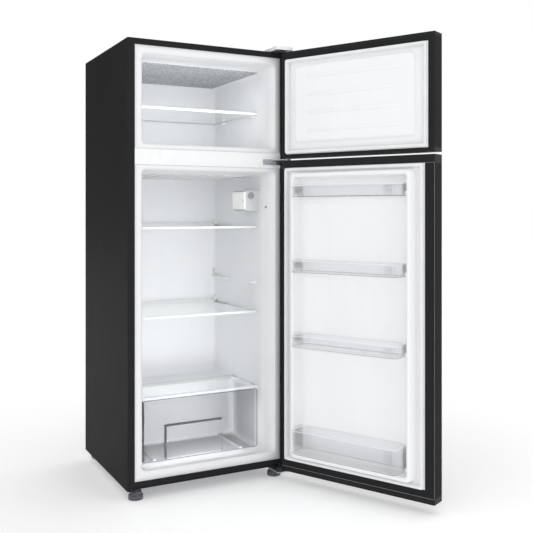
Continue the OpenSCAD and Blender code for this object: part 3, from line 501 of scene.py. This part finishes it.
# Width of the eased edge on each CAD piece that has one, in millimetres
EASED = {
    "mullion_cover": 0.5, "front_crossbar": 0.5, "top_hinge": 0.5, "middle_hinge": 0.6,
    "bottom_hinge": 0.5, "top_hinge_cover": 1.6, "control_housing": 1.4, "lamp_cover": 1.4,
    "switch_housing": 1.0, "switch_plunger": 0.8, "freezer_shelf_glass": 0.6, "upper_shelf_glass": 0.6,
    "lower_shelf_glass": 0.6, "crisper_glass": 0.6, "compressor": 1.2, "compressor_plate": 0.4,
    "relay_cover": 2.0, "evaporating_tray": 0.7, "front_foot_left": 0.9, "front_foot_right": 0.9,
    "rear_roller_left": 1.2, "rear_roller_right": 1.2, "freezer_door_caps": 0.7,
    "fridge_door_caps": 0.7, "evaporator_plate": 0.8,
}


def dress_cad_nodes():
    for node, finish_name in CAD_FINISH.items():
        thing = frame["nodes"][node]
        thing.data.materials.clear()
        thing.data.materials.append(FINISHES[finish_name])
        if node in EASED:
            weld = thing.modifiers.new("weld", "WELD")
            weld.merge_threshold = 0.00002
            bevel = thing.modifiers.new("eased_edges", "BEVEL")
            bevel.width = EASED[node] * MM
            bevel.segments = 3
            bevel.limit_method = "ANGLE"
            bevel.angle_limit = math.radians(50)
            bevel.harden_normals = True


dress_cad_nodes()

# ---------------------------------------------------------------- mesh tools


def keep(name, bm, finish_name, body, stands_for=(), on_door=False, smooth=40, scale=MM):
    """Turns a bench mesh in millimetres into a finished piece that rides on its body."""
    bm.transform(Matrix.Diagonal((scale, scale, scale, 1)))
    if on_door:
        bm.transform(TO_OPEN_DOOR)
    if body:
        bm.transform(HOME)
    mesh = bpy.data.meshes.new(name)
    bm.to_mesh(mesh)
    bm.free()
    mesh.shade_smooth()
    mesh.set_sharp_from_angle(angle=math.radians(smooth))
    thing = bpy.data.objects.new(name, mesh)
    thing.data.materials.append(FINISHES[finish_name])
    scene.collection.objects.link(thing)
    if body:
        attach(thing, body)
    if stands_for:
        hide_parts(*stands_for)
    return thing


def corner_ring(x, z, r, y, steps=7):
    """Rectangle with round corners, seen from the front, at depth y."""
    points = []
    for cx, cz, start in ((x[1] - r, z[1] - r, 0), (x[0] + r, z[1] - r, 90), (x[0] + r, z[0] + r, 180),
                          (x[1] - r, z[0] + r, 270)):
        for k in range(steps + 1):
            turn = math.radians(start + 90 * k / steps)
            points.append(Vector((cx + r * math.cos(turn), y, cz + r * math.sin(turn))))
    return points


def loft(bm, rings, closed=False, start_cap=False, end_cap=False, flip=False):
    """Skin over rings that all have the same number of points."""
    rows = [[bm.verts.new(p) for p in ring] for ring in rings]
    pairs = list(zip(rows, rows[1:])) + ([(rows[-1], rows[0])] if closed else [])
    made = []
    for low, high in pairs:
        n = len(low)
        for k in range(n):
            corners = [low[k], low[(k + 1) % n], high[(k + 1) % n], high[k]]
            made.append(bm.faces.new(corners))
    if start_cap:
        made.append(bm.faces.new(list(reversed(rows[0]))))
    if end_cap:
        made.append(bm.faces.new(rows[-1]))
    if flip:
        bmesh.ops.reverse_faces(bm, faces=made)
    return rows


def thicken(thing, thickness):
    wall = thing.modifiers.new("wall", "SOLIDIFY")
    wall.thickness = thickness * MM
    wall.offset = -1.0


def cad_box_of(node):
    """Corners of a CAD node's box about the middle of the cabinet, in millimetres."""
    return [HOME.inverted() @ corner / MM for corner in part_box(node)]


def soft_box(bm, x, y, z, r, steps=3):
    made = bmesh.ops.create_cube(bm, size=1.0)["verts"]
    size = Vector((x[1] - x[0], y[1] - y[0], z[1] - z[0]))
    middle = Vector((x[0] + x[1], y[0] + y[1], z[0] + z[1])) / 2
    for v in made:
        v.co = Vector((v.co.x * size.x, v.co.y * size.y, v.co.z * size.z)) + middle
    edges = list({e for v in made for e in v.link_edges})
    if r:
        bmesh.ops.bevel(bm, geom=edges, offset=r, segments=steps, profile=0.5, affect="EDGES",
                        clamp_overlap=True)


def turned(bm, outline, place, axis, steps=32, closed_ends=True):
    """Turned part: outline is a list of (radius, height) along axis from place."""
    axis = Vector(axis).normalized()
    side = axis.orthogonal().normalized()
    across = axis.cross(side)
    rings = []
    for radius, height in outline:
        centre = Vector(place) + axis * height
        rings.append([centre + radius * (math.cos(t) * side + math.sin(t) * across)
                      for t in (2 * math.pi * k / steps for k in range(steps))])
    loft(bm, rings, start_cap=closed_ends, end_cap=closed_ends)


def bead(name, points, radius, finish_name, body, on_door=False, cyclic=True):
    """Thin round bead along a line of points, in millimetres."""
    data = bpy.data.curves.new(name, "CURVE")
    data.dimensions = "3D"
    data.bevel_depth = radius * MM
    data.bevel_resolution = 3
    data.use_fill_caps = True
    line = data.splines.new("POLY")
    line.points.add(len(points) - 1)
    for spot, p in zip(line.points, points):
        where = Vector(p) * MM
        if on_door:
            where = TO_OPEN_DOOR @ where
        spot.co = (*(HOME @ where), 1.0)
    line.use_cyclic_u = cyclic
    thing = bpy.data.objects.new(name, data)
    data.materials.append(FINISHES[finish_name])
    scene.collection.objects.link(thing)
    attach(thing, body)


# ---------------------------------------------------------------- liners of the cabinet

FLANGE_Y = -251.4
FLANGE_HALF = 254.2
WALL_HALF = 213.0
BACK_Y = 206.0
BACK_FILLET = 12.0
MOUTH_HALF = 231.0
FLARE_DEPTH = 61.4
ROOM_CORNER = 13.0
LINER_T = 1.6
FREEZER = {"flange": (1089.3, 1410.7), "mouth": (1104, 1386), "room": (1110, 1369)}
FRIDGE = {"flange": (59.3, 1039.7), "mouth": (87, 1025), "room": (82, 1016)}
# Depth and height of the floor where it climbs over the machinery
STEP_UP = ((30, 82), (35, 83.2), (38.2, 86.6), (39.4, 92), (40.4, 272), (41.2, 276.6), (43.4, 279.4),
           (48, 280))
# Tops of the ledges: freezer shelf, upper shelf, the spare place and the lower shelf
LEDGE_TOPS = (1227.7, 837.7, 649.7, 546.7)
CRISPER_LEDGE = (281.7, 290.7)


def between(a, b, t):
    return tuple(p + (q - p) * t for p, q in zip(a, b))


def grown(z, g):
    return (z[0] - g, z[1] + g)


def liner_rings(part, floor_steps=()):
    """From the front flange, over the rolled lip and down the flare, then along the walls to the back."""
    mouth, room = part["mouth"], part["room"]
    rings = [corner_ring((-FLANGE_HALF, FLANGE_HALF), part["flange"], 0.6, FLANGE_Y)]
    for g, y, r in ((6.5, 0.0, 20), (4.0, 0.25, 18), (2.0, 1.2, 16.5), (0.6, 3.0, 15)):
        rings.append(corner_ring((-MOUTH_HALF - g, MOUTH_HALF + g), grown(mouth, g), r, FLANGE_Y + y))
    for t, r in ((0.09, 14), (0.5, 13.5), (0.9, 13.2), (0.97, 13)):
        z = between(mouth, room, t)
        half = MOUTH_HALF + (WALL_HALF - MOUTH_HALF) * t
        rings.append(corner_ring((-half, half), z, r, FLANGE_Y + FLARE_DEPTH * t))
    rings.append(corner_ring((-WALL_HALF, WALL_HALF), room, ROOM_CORNER, -184))
    floor = room[0]
    for y, floor in floor_steps:
        rings.append(corner_ring((-WALL_HALF, WALL_HALF), (floor, room[1]), ROOM_CORNER, y))
    for k in range(7):
        turn = math.radians(15 * k)
        g = -BACK_FILLET * (1 - math.cos(turn))
        rings.append(corner_ring((-WALL_HALF - g, WALL_HALF + g), grown((floor, room[1]), g),
                                 ROOM_CORNER + g * 0.5, BACK_Y - BACK_FILLET * (1 - math.sin(turn))))
    return rings


def make_liner(name, part, nodes, floor_steps=()):
    bm = bmesh.new()
    loft(bm, liner_rings(part, floor_steps), end_cap=True)
    thicken(keep(name, bm, "liner", "cabinet", nodes, smooth=50), LINER_T)


make_liner("freezer_inner_shell", FREEZER, ("freezer_liner",))
make_liner("fridge_inner_shell", FRIDGE, ("fridge_liner", "fridge_walls"), STEP_UP)


def make_supports():
    """Moulded nubs and rails that the shelves and the crisper glass lie on."""
    bm = bmesh.new()
    for side in (-1, 1):
        def wall(depth, y, z, r):
            x = sorted((side * (WALL_HALF - depth), side * (WALL_HALF + 0.8)))
            soft_box(bm, x, y, z, r)
        for top in LEDGE_TOPS:
            wall(13, (-142, -116), (top - 9, top), 2.4)
            wall(9, (-148, -142), (top - 8, top + 3), 2.0)
            rear = (100, 132) if top > 1100 else (80, 204)
            wall(13, rear, (top - 9, top), 2.4)
            wall(10, (rear[1] - 22, rear[1]), (top + 9, top + 26), 2.2)
        wall(9, (-150, -124), CRISPER_LEDGE, 2.4)
        wall(9, (6, 41), CRISPER_LEDGE, 2.4)
        soft_box(bm, sorted((side * 150, side * 160)), (-150, 32), (81, 87.1), 1.2)
    keep("shelf_supports", bm, "liner", "cabinet", ("shelf_ledges",))


def make_ceiling_ribs():
    bm = bmesh.new()
    for k in range(6):
        x = -150 + 60 * k
        soft_box(bm, (x - 5, x + 5), (-168, 186), (1013.2, 1017.5), 2.0)
    keep("ceiling_ribs", bm, "liner", "cabinet")


make_supports()
make_ceiling_ribs()

# ---------------------------------------------------------------- doors

DOOR_IN = -265.0
FREEZER_FIELD = ((-256.3, 256.3), (1083.2, 1396.8))
FRIDGE_FIELD = ((-245.8, 258.8), (73.2, 1037.8))
BINS = ((941, 36), (700, 37), (462, 36), (121, 74))
STUD_Y = (-258.0, -238.0)
DOOR_HALF = 277.0
# Heights of the joints between the fridge door's skin and its lower and upper end caps
CAP_SEAMS = (50.0, 1038.0)


def door_shell(name, field, steps, node):
    bm = bmesh.new()
    rings = [corner_ring(field[0], field[1], 0.6, DOOR_IN)]
    rings += [corner_ring((-half, half), z, r, DOOR_IN + rise) for half, z, r, rise in steps]
    loft(bm, rings, end_cap=True, flip=True)
    body = "freezer_door" if node.startswith("freezer") else "fridge_door"
    thicken(keep(name, bm, "door_liner", body, (node,), True, 50), LINER_T)


def make_freezer_door():
    z = (1118, 1371)
    steps = [(222, grown(z, 4), 19, 0), (219.5, grown(z, 1.5), 17, 0.7), (218, z, 16, 2.4),
             (215, grown(z, -3), 15, 9.0), (213.4, grown(z, -4.6), 14, 11.0), (211, grown(z, -7), 12, 11.9),
             (207, grown(z, -11), 10, 12.0)]
    door_shell("freezer_door_panel", FREEZER_FIELD, steps, "freezer_door_liner")
    bm = bmesh.new()
    for k in range(4):
        low = 1152 + 58 * k
        soft_box(bm, (-168, 168), (DOOR_IN + 10.6, DOOR_IN + 14.0), (low, low + 10), 1.2)
    keep("freezer_door_ribs", bm, "door_liner", "freezer_door", (), True)


def make_fridge_door():
    base, top, recess = (92, 1021), (96, 1017), (109, 1004)
    steps = [(223, grown(base, 4), 20, 0), (220.4, grown(base, 1.4), 18, 0.8),
             (218.8, grown(base, -0.2), 17, 3.5), (215.9, grown(top, 0.9), 15, 33.0),
             (214.2, grown(top, -0.8), 14, 36.6), (211, grown(top, -4), 12, 38.0),
             (207, grown(recess, 4), 12, 38.0), (204.2, grown(recess, 1.2), 11, 36.6),
             (203, recess, 10, 33.0), (201.6, grown(recess, -1.4), 10, -4.0),
             (199.8, grown(recess, -3.2), 9, -8.2), (196, grown(recess, -7), 8, -9.9)]
    door_shell("fridge_door_panel", FRIDGE_FIELD, steps, "fridge_door_liner")
    bm = bmesh.new()
    for low, _ in BINS:
        for side in (-1, 1):
            x = sorted((side * 193, side * 203.6))
            soft_box(bm, x, STUD_Y, (low + 2, low + 14), 2.2)
        soft_box(bm, (-196, 196), (DOOR_IN - 11.5, DOOR_IN - 8.8), (low - 22, low - 5), 1.3)
    keep("fridge_door_studs", bm, "door_liner", "fridge_door", (), True)


def make_seal(name, field, node, body):
    """Magnetic seal: a foot, a bellows and the flat bulb that meets the cabinet."""
    profile = ((0, 0), (0, 3.4), (1.3, 4.6), (2.6, 6.0), (1.4, 7.4), (1.5, 10.6), (2.6, 11.8), (9.2, 11.8),
               (10.4, 10.6), (10.5, 7.4), (9.3, 6.0), (10.7, 4.6), (12, 3.4), (12, 0))
    x, z = (field[0][0] + 0.3, field[0][1] - 0.3), (field[1][0] + 0.3, field[1][1] - 0.3)
    bm = bmesh.new()
    rings = [corner_ring(grown(x, -g), grown(z, -g), max(8 - g, 1.5), DOOR_IN + up) for g, up in profile]
    loft(bm, rings, closed=True)
    bmesh.ops.recalc_face_normals(bm, faces=bm.faces)
    keep(name, bm, "seal", body, (node,), True, 55)


def make_door_highlight_lines():
    """Light beads along the fold at the latch side of the fridge door's skin and along the seams where it
    meets the end caps: painted highlights on the fold and on the seams.
    """
    side, seams = DOOR_HALF - 3.0, CAP_SEAMS
    highlight_line = [(-side - 1.8, DOOR_IN - 1.2, z) for z in seams]
    bead("door_skin_fold_highlight", highlight_line, 0.6, "highlight_line", "fridge_door", True, False)
    for name, z in (("lower_cap_seam_highlight", seams[0]), ("upper_cap_seam_highlight", seams[1])):
        seam = [(-side, DOOR_IN - 0.2, z), (side, DOOR_IN - 0.2, z)]
        bead(name, seam, 0.5, "highlight_line", "fridge_door", True, False)


make_freezer_door()
make_fridge_door()
make_door_highlight_lines()
make_seal("freezer_seal", FREEZER_FIELD, "freezer_door_gasket", "freezer_door")
make_seal("fridge_seal", FRIDGE_FIELD, "fridge_door_gasket", "fridge_door")


def level_ring(x, y, r, z, steps=7):
    return [Vector((p.x, p.z, z)) for p in corner_ring(x, y, r, 0, steps)]


def make_bin(index):
    """Clear bin with a rolled rim, ribbed ends and hangers that drop over the studs."""
    low, high = BINS[index]
    x, y = (-190, 190), (-274, -189)
    wall = ((4, 0), (2, 0.7), (1.2, 2.4), (0.9, high - 4.2), (0, high - 3.4), (0, high - 0.7), (0.6, high),
            (2.2, high), (2.8, high - 0.7), (2.9, high - 4), (3.3, 6), (4.6, 3.4), (8, 2.4))
    bm = bmesh.new()
    rings = [level_ring(grown(x, -g), grown(y, -g), max(16 - g, 8), low + up) for g, up in wall]
    loft(bm, rings, start_cap=True, end_cap=True)
    bmesh.ops.recalc_face_normals(bm, faces=bm.faces)
    for side in (-1, 1):
        hanger = sorted((side * 189.4, side * 198.4))
        top = (low + 14.4, low + high + 4)
        soft_box(bm, hanger, (-265, -231), top, 2.0)
        soft_box(bm, hanger, (-265, -258.4), (low, low + 15.5), 1.2)
        soft_box(bm, hanger, (-237.6, -231), (low, low + 15.5), 1.2)
        for k in range(5):
            rib = side * (150 + 6 * k)
            soft_box(bm, (rib - 0.7, rib + 0.7), (-193.2, -191.4), (low + 5, low + high - 5), 0.3, 1)
    number = index + 1
    body = "bin_%d" % number
    keep("clear_bin_%d" % number, bm, "clear", body, ("door_bin_%d" % number,), True, 45)
    rim = level_ring(grown(x, -1.4), grown(y, -1.4), 14.6, low + high - 0.6)
    bead("bin_rim_%d" % number, rim, 1.0, "clear_rim", body, True)
    # Dark bead along the bin's foot: a painted shadow line
    base = level_ring(grown(x, -2), grown(y, -2), 14, low + 0.9)
    bead("bin_base_%d" % number, base, 0.6, "clear_edge_shade", body, True)


for index in range(len(BINS)):
    make_bin(index)

# ---------------------------------------------------------------- shelves and crisper drawer


def make_shelf(body, glass, trims):
    """Slim front trim, rear stop, and the ground edge of the glass."""
    low, high = cad_box_of(trims)
    under = low.z + 3
    bm = bmesh.new()
    soft_box(bm, (low.x, high.x), (low.y, low.y + 14), (under - 1.4, under + 6.2), 2.2)
    pane_low, pane_high = cad_box_of(glass)
    if high.y > pane_high.y:
        soft_box(bm, (low.x + 3, high.x - 3), (high.y - 4, high.y), (under, under + 12), 1.0)
        soft_box(bm, (low.x + 3, high.x - 3), (high.y - 12, high.y - 3), (under + 4, under + 6), 0.6)
    keep(body + "_trims", bm, "trim", body, (trims,))
    level = (pane_low.z + pane_high.z) / 2
    left, right, rear, front = pane_low.x + 1, pane_high.x - 1, pane_high.y - 1, pane_low.y + 8
    line = [(left, front, level), (left, rear, level), (right, rear, level), (right, front, level)]
    bead(body + "_glass_edge", line, 1.1, "glass_edge", body, cyclic=False)


make_shelf("freezer_shelf", "freezer_shelf_glass", "freezer_shelf_trims")
make_shelf("upper_shelf", "upper_shelf_glass", "upper_shelf_trims")
make_shelf("lower_shelf", "lower_shelf_glass", "lower_shelf_trims")
make_shelf("crisper_cover", "crisper_glass", "crisper_glass_trim")


DRAWER_FLOOR = 87.3
DRAWER_FRONT = -174.0
GRIP_X = (-122, 75)
GRIP_TOP = 196
GRIP_R = 8


def make_drawer_edges():
    low, depth = DRAWER_FLOOR, DRAWER_FRONT + 0.9
    # Dark beads along the drawer front's outline and its grip: painted shade for the dark refraction seen
    # at clear edges
    outline = corner_ring((-205.2, 205.2), (low + 0.8, 285.2), 9, depth)
    bead("drawer_front_edge", outline, 1.0, "clear_edge_shade", "drawer")
    grip = []
    for cx, start in ((GRIP_X[1] - GRIP_R, 0), (GRIP_X[0] + GRIP_R, 90)):
        for k in range(7):
            turn = math.radians(start + 15 * k)
            grip.append((cx + GRIP_R * math.cos(turn), depth, GRIP_TOP - GRIP_R + GRIP_R * math.sin(turn)))
    grip = [(GRIP_X[1], depth, low + 1)] + grip + [(GRIP_X[0], depth, low + 1)]
    bead("drawer_grip_edge", grip, 0.85, "clear_edge_shade", "drawer", cyclic=False)


make_drawer_edges()

# ---------------------------------------------------------------- screws, bolts and axles


def cross_head():
    """Pan head with a cross recess, its underside at 0 and its shank below."""
    bm = bmesh.new()
    outline = ((2.0, -5.0), (2.0, 0.0), (4.0, 0.0), (4.2, 0.5), (4.05, 1.2), (3.5, 1.8), (2.5, 2.25),
               (0.9, 2.4))
    turned(bm, outline, (0, 0, 0), (0, 0, 1), 28)
    head = keep("cross_head", bm, "zinc", None, scale=1.0)
    cutters = bmesh.new()
    soft_box(cutters, (-2.3, 2.3), (-0.45, 0.45), (1.1, 3.0), 0)
    soft_box(cutters, (-0.45, 0.45), (-2.3, 2.3), (1.0, 3.1), 0)
    cutter = keep("cross_cutter", cutters, "zinc", None, scale=1.0)
    cut = head.modifiers.new("recess", "BOOLEAN")
    cut.operation = "DIFFERENCE"
    cut.solver = "EXACT"
    cut.use_self = True
    cut.object = cutter
    bpy.context.view_layer.update()
    mesh = bpy.data.meshes.new_from_object(head.evaluated_get(bpy.context.evaluated_depsgraph_get()))
    for spare in (head, cutter):
        bpy.data.objects.remove(spare, do_unlink=True)
    return mesh


def add_turned_copy(bm, mesh, place, facing):
    start = len(bm.verts)
    bm.from_mesh(mesh)
    bm.verts.ensure_lookup_table()
    turn = Vector(facing).to_track_quat("Z", "Y").to_matrix().to_4x4()
    bmesh.ops.transform(bm, matrix=Matrix.Translation(Vector(place)) @ turn, verts=bm.verts[start:])


def hexagon_bolt(bm, place):
    turned(bm, ((4.0, -16.0), (4.0, 0.0), (7.0, 0.0), (7.3, 0.4), (7.3, 1.0)), place, (0, 0, 1), 24)
    turned(bm, ((6.2, 1.0), (6.4, 1.4), (6.4, 3.4), (5.6, 4.0)), place, (0, 0, 1), 6)


# Screws of the top hinge (x, y), the middle hinge (x, z) and the bottom hinge (x, y)
TOP_SCREWS = ((228, -214), (252, -214), (240, -238))
MIDDLE_SCREWS = ((204, 1058), (236, 1058))
BOTTOM_SCREWS = ((264, -214), (264, -233))


def make_fasteners():
    head = cross_head()
    bm = bmesh.new()
    for x, y in TOP_SCREWS:
        add_turned_copy(bm, head, (x, y, 1433), (0, 0, 1))
    for x, z in MIDDLE_SCREWS:
        add_turned_copy(bm, head, (x, -254.5, z), (0, -1, 0))
    for x, y in BOTTOM_SCREWS:
        add_turned_copy(bm, head, (x, y, 28), (0, 0, -1))
    low, high = cad_box_of("compressor_grommets")
    for x in (low.x + 12, high.x - 12):
        for y in (low.y + 12, high.y - 12):
            hexagon_bolt(bm, (x, y, 50.5))
    for side in (-1, 1):
        turned(bm, ((5.2, 0), (6, 0.5), (6, 1.9), (4, 1.9), (4, 28.2), (6, 28.2), (6, 29.6), (5.2, 30.1)),
               (side * 235, 215, 14.5), (side, 0, 0), 28)
    keep("screws_bolts_and_axles", bm, "zinc", "cabinet", ("fasteners",))


make_fasteners()

# ---------------------------------------------------------------- controls


KNOB_X = 179
KNOB_Z = 948


def make_knob():
    """Fluted knob with a raised pointer."""
    bm = bmesh.new()
    place, axis = Vector((KNOB_X, -176.3, KNOB_Z)), Vector((0, -1, 0))
    rings = []
    outline = ((10.4, 0, 0), (11, 0.6, 0), (11, 4.4, 0), (10.4, 5.0, 0), (8.7, 5.0, 0.35), (8.6, 9.0, 0.35),
               (8.0, 9.8, 0.2), (7.0, 10.1, 0), (3.0, 10.1, 0))
    for radius, height, flute in outline:
        ring = []
        for k in range(72):
            turn = 2 * math.pi * k / 72
            r = radius - flute * (0.5 + 0.5 * math.cos(turn * 24))
            ring.append(place + axis * height + Vector((r * math.cos(turn), 0, r * math.sin(turn))))
        rings.append(ring)
    loft(bm, rings, start_cap=True, end_cap=True)
    bmesh.ops.recalc_face_normals(bm, faces=bm.faces)
    soft_box(bm, (KNOB_X - 1.2, KNOB_X + 1.2), (-187.1, -186.0), (KNOB_Z + 1, KNOB_Z + 8.5), 0.35)
    keep("thermostat_dial", bm, "knob", "knob", ("thermostat_knob",))


def make_dial_marks():
    bm = bmesh.new()
    for k in range(7):
        turn = math.radians(210 - 40 * k)
        spot = Vector((KNOB_X + 14 * math.cos(turn), -176.2, KNOB_Z + 14 * math.sin(turn)))
        size = 0.5 + 0.13 * k
        turned(bm, ((size, -0.2), (size, 0.25), (size * 0.7, 0.4)), spot, (0, -1, 0), 16)
    keep("dial_marks", bm, "knob", "cabinet")
    bm = bmesh.new()
    for k in range(5):
        z = 908 + 4.2 * k
        soft_box(bm, (188, 206), (-176.6, -175.4), (z, z + 1.5), 0.4)
    keep("control_box_louvres", bm, "control", "cabinet")


def make_lamp_cover_ribs():
    bm = bmesh.new()
    for k in range(9):
        y = -160 + 9 * k
        soft_box(bm, (154.3, 155.6), (y, y + 3), (908, 954), 0.5)
    keep("lamp_cover_ribs", bm, "diffuser", "cabinet")
    bm = bmesh.new()
    turned(bm, ((3.2, 0), (3.2, 0.8), (2.4, 1.3), (0.6, 1.4)), (155, -168, 931), (-1, 0, 0), 24)
    keep("lamp_cover_screw", bm, "knob", "cabinet")


make_knob()
make_dial_marks()
make_lamp_cover_ribs()

# ---------------------------------------------------------------- machinery and back


def make_compressor_fittings():
    low, high = cad_box_of("compressor")
    cx, cy = (low.x + high.x) / 2, 163.0
    bm = bmesh.new()
    turned(bm, ((70.2, 114.6), (72.6, 115.4), (73.4, 116.6), (73.4, 119.4), (72.6, 120.6), (70.2, 121.4)),
           (cx, cy, 0), (0, 0, 1), 96, closed_ends=False)
    keep("compressor_seam", bm, "enamel", "cabinet")
    bm = bmesh.new()
    for x, y, z in ((-109.5, 150, 130), (-108.6, 180, 100)):
        turned(bm, ((4.4, 0), (4.6, 1.0), (4.0, 7), (3.2, 9)), (x + 1, y, z), (-1, 0, 0), 24)
    keep("brazed_stubs", bm, "copper", "cabinet")


def make_back_details():
    bm = bmesh.new()
    y = cad_box_of("back_panel")[1].y
    for x in (-262, -130, 0, 130, 262):
        for z in (272, 1412):
            turned(bm, ((3.4, 0), (3.4, 0.8), (2.6, 1.3), (0.6, 1.4)), (x, y, z), (0, 1, 0), 24)
    for x in (-262, 262):
        for z in (500, 730, 960, 1190):
            turned(bm, ((3.4, 0), (3.4, 0.8), (2.6, 1.3), (0.6, 1.4)), (x, y, z), (0, 1, 0), 24)
    keep("back_panel_screws", bm, "zinc", "cabinet")
    bm = bmesh.new()
    for z in (420, 640, 860, 1080, 1300):
        soft_box(bm, (-220, 220), (y - 0.8, y + 1.3), (z - 9, z + 9), 1.0)
    for x in (-226, 226):
        soft_box(bm, (x - 6, x + 6), (y - 0.8, y + 1.3), (400, 1320), 1.0)
    keep("back_panel_swages", bm, "back_sheet", "cabinet")


make_compressor_fittings()
make_back_details()

# ---------------------------------------------------------------- floor


# Extra light from the floor, so that it runs into the white cove without a line
FLOOR_GLOW = 0.22


def make_floor():
    bm = bmesh.new()
    bmesh.ops.create_grid(bm, x_segments=1, y_segments=1, size=14.0)
    floor = keep("studio_floor", bm, "floor", None, scale=1.0)
    glow = FINISHES["floor"].node_tree.nodes["Principled BSDF"]
    glow.inputs["Emission Color"].default_value = (1.0, 1.0, 1.0, 1.0)
    glow.inputs["Emission Strength"].default_value = FLOOR_GLOW
    floor.location.z = -0.0005


make_floor()
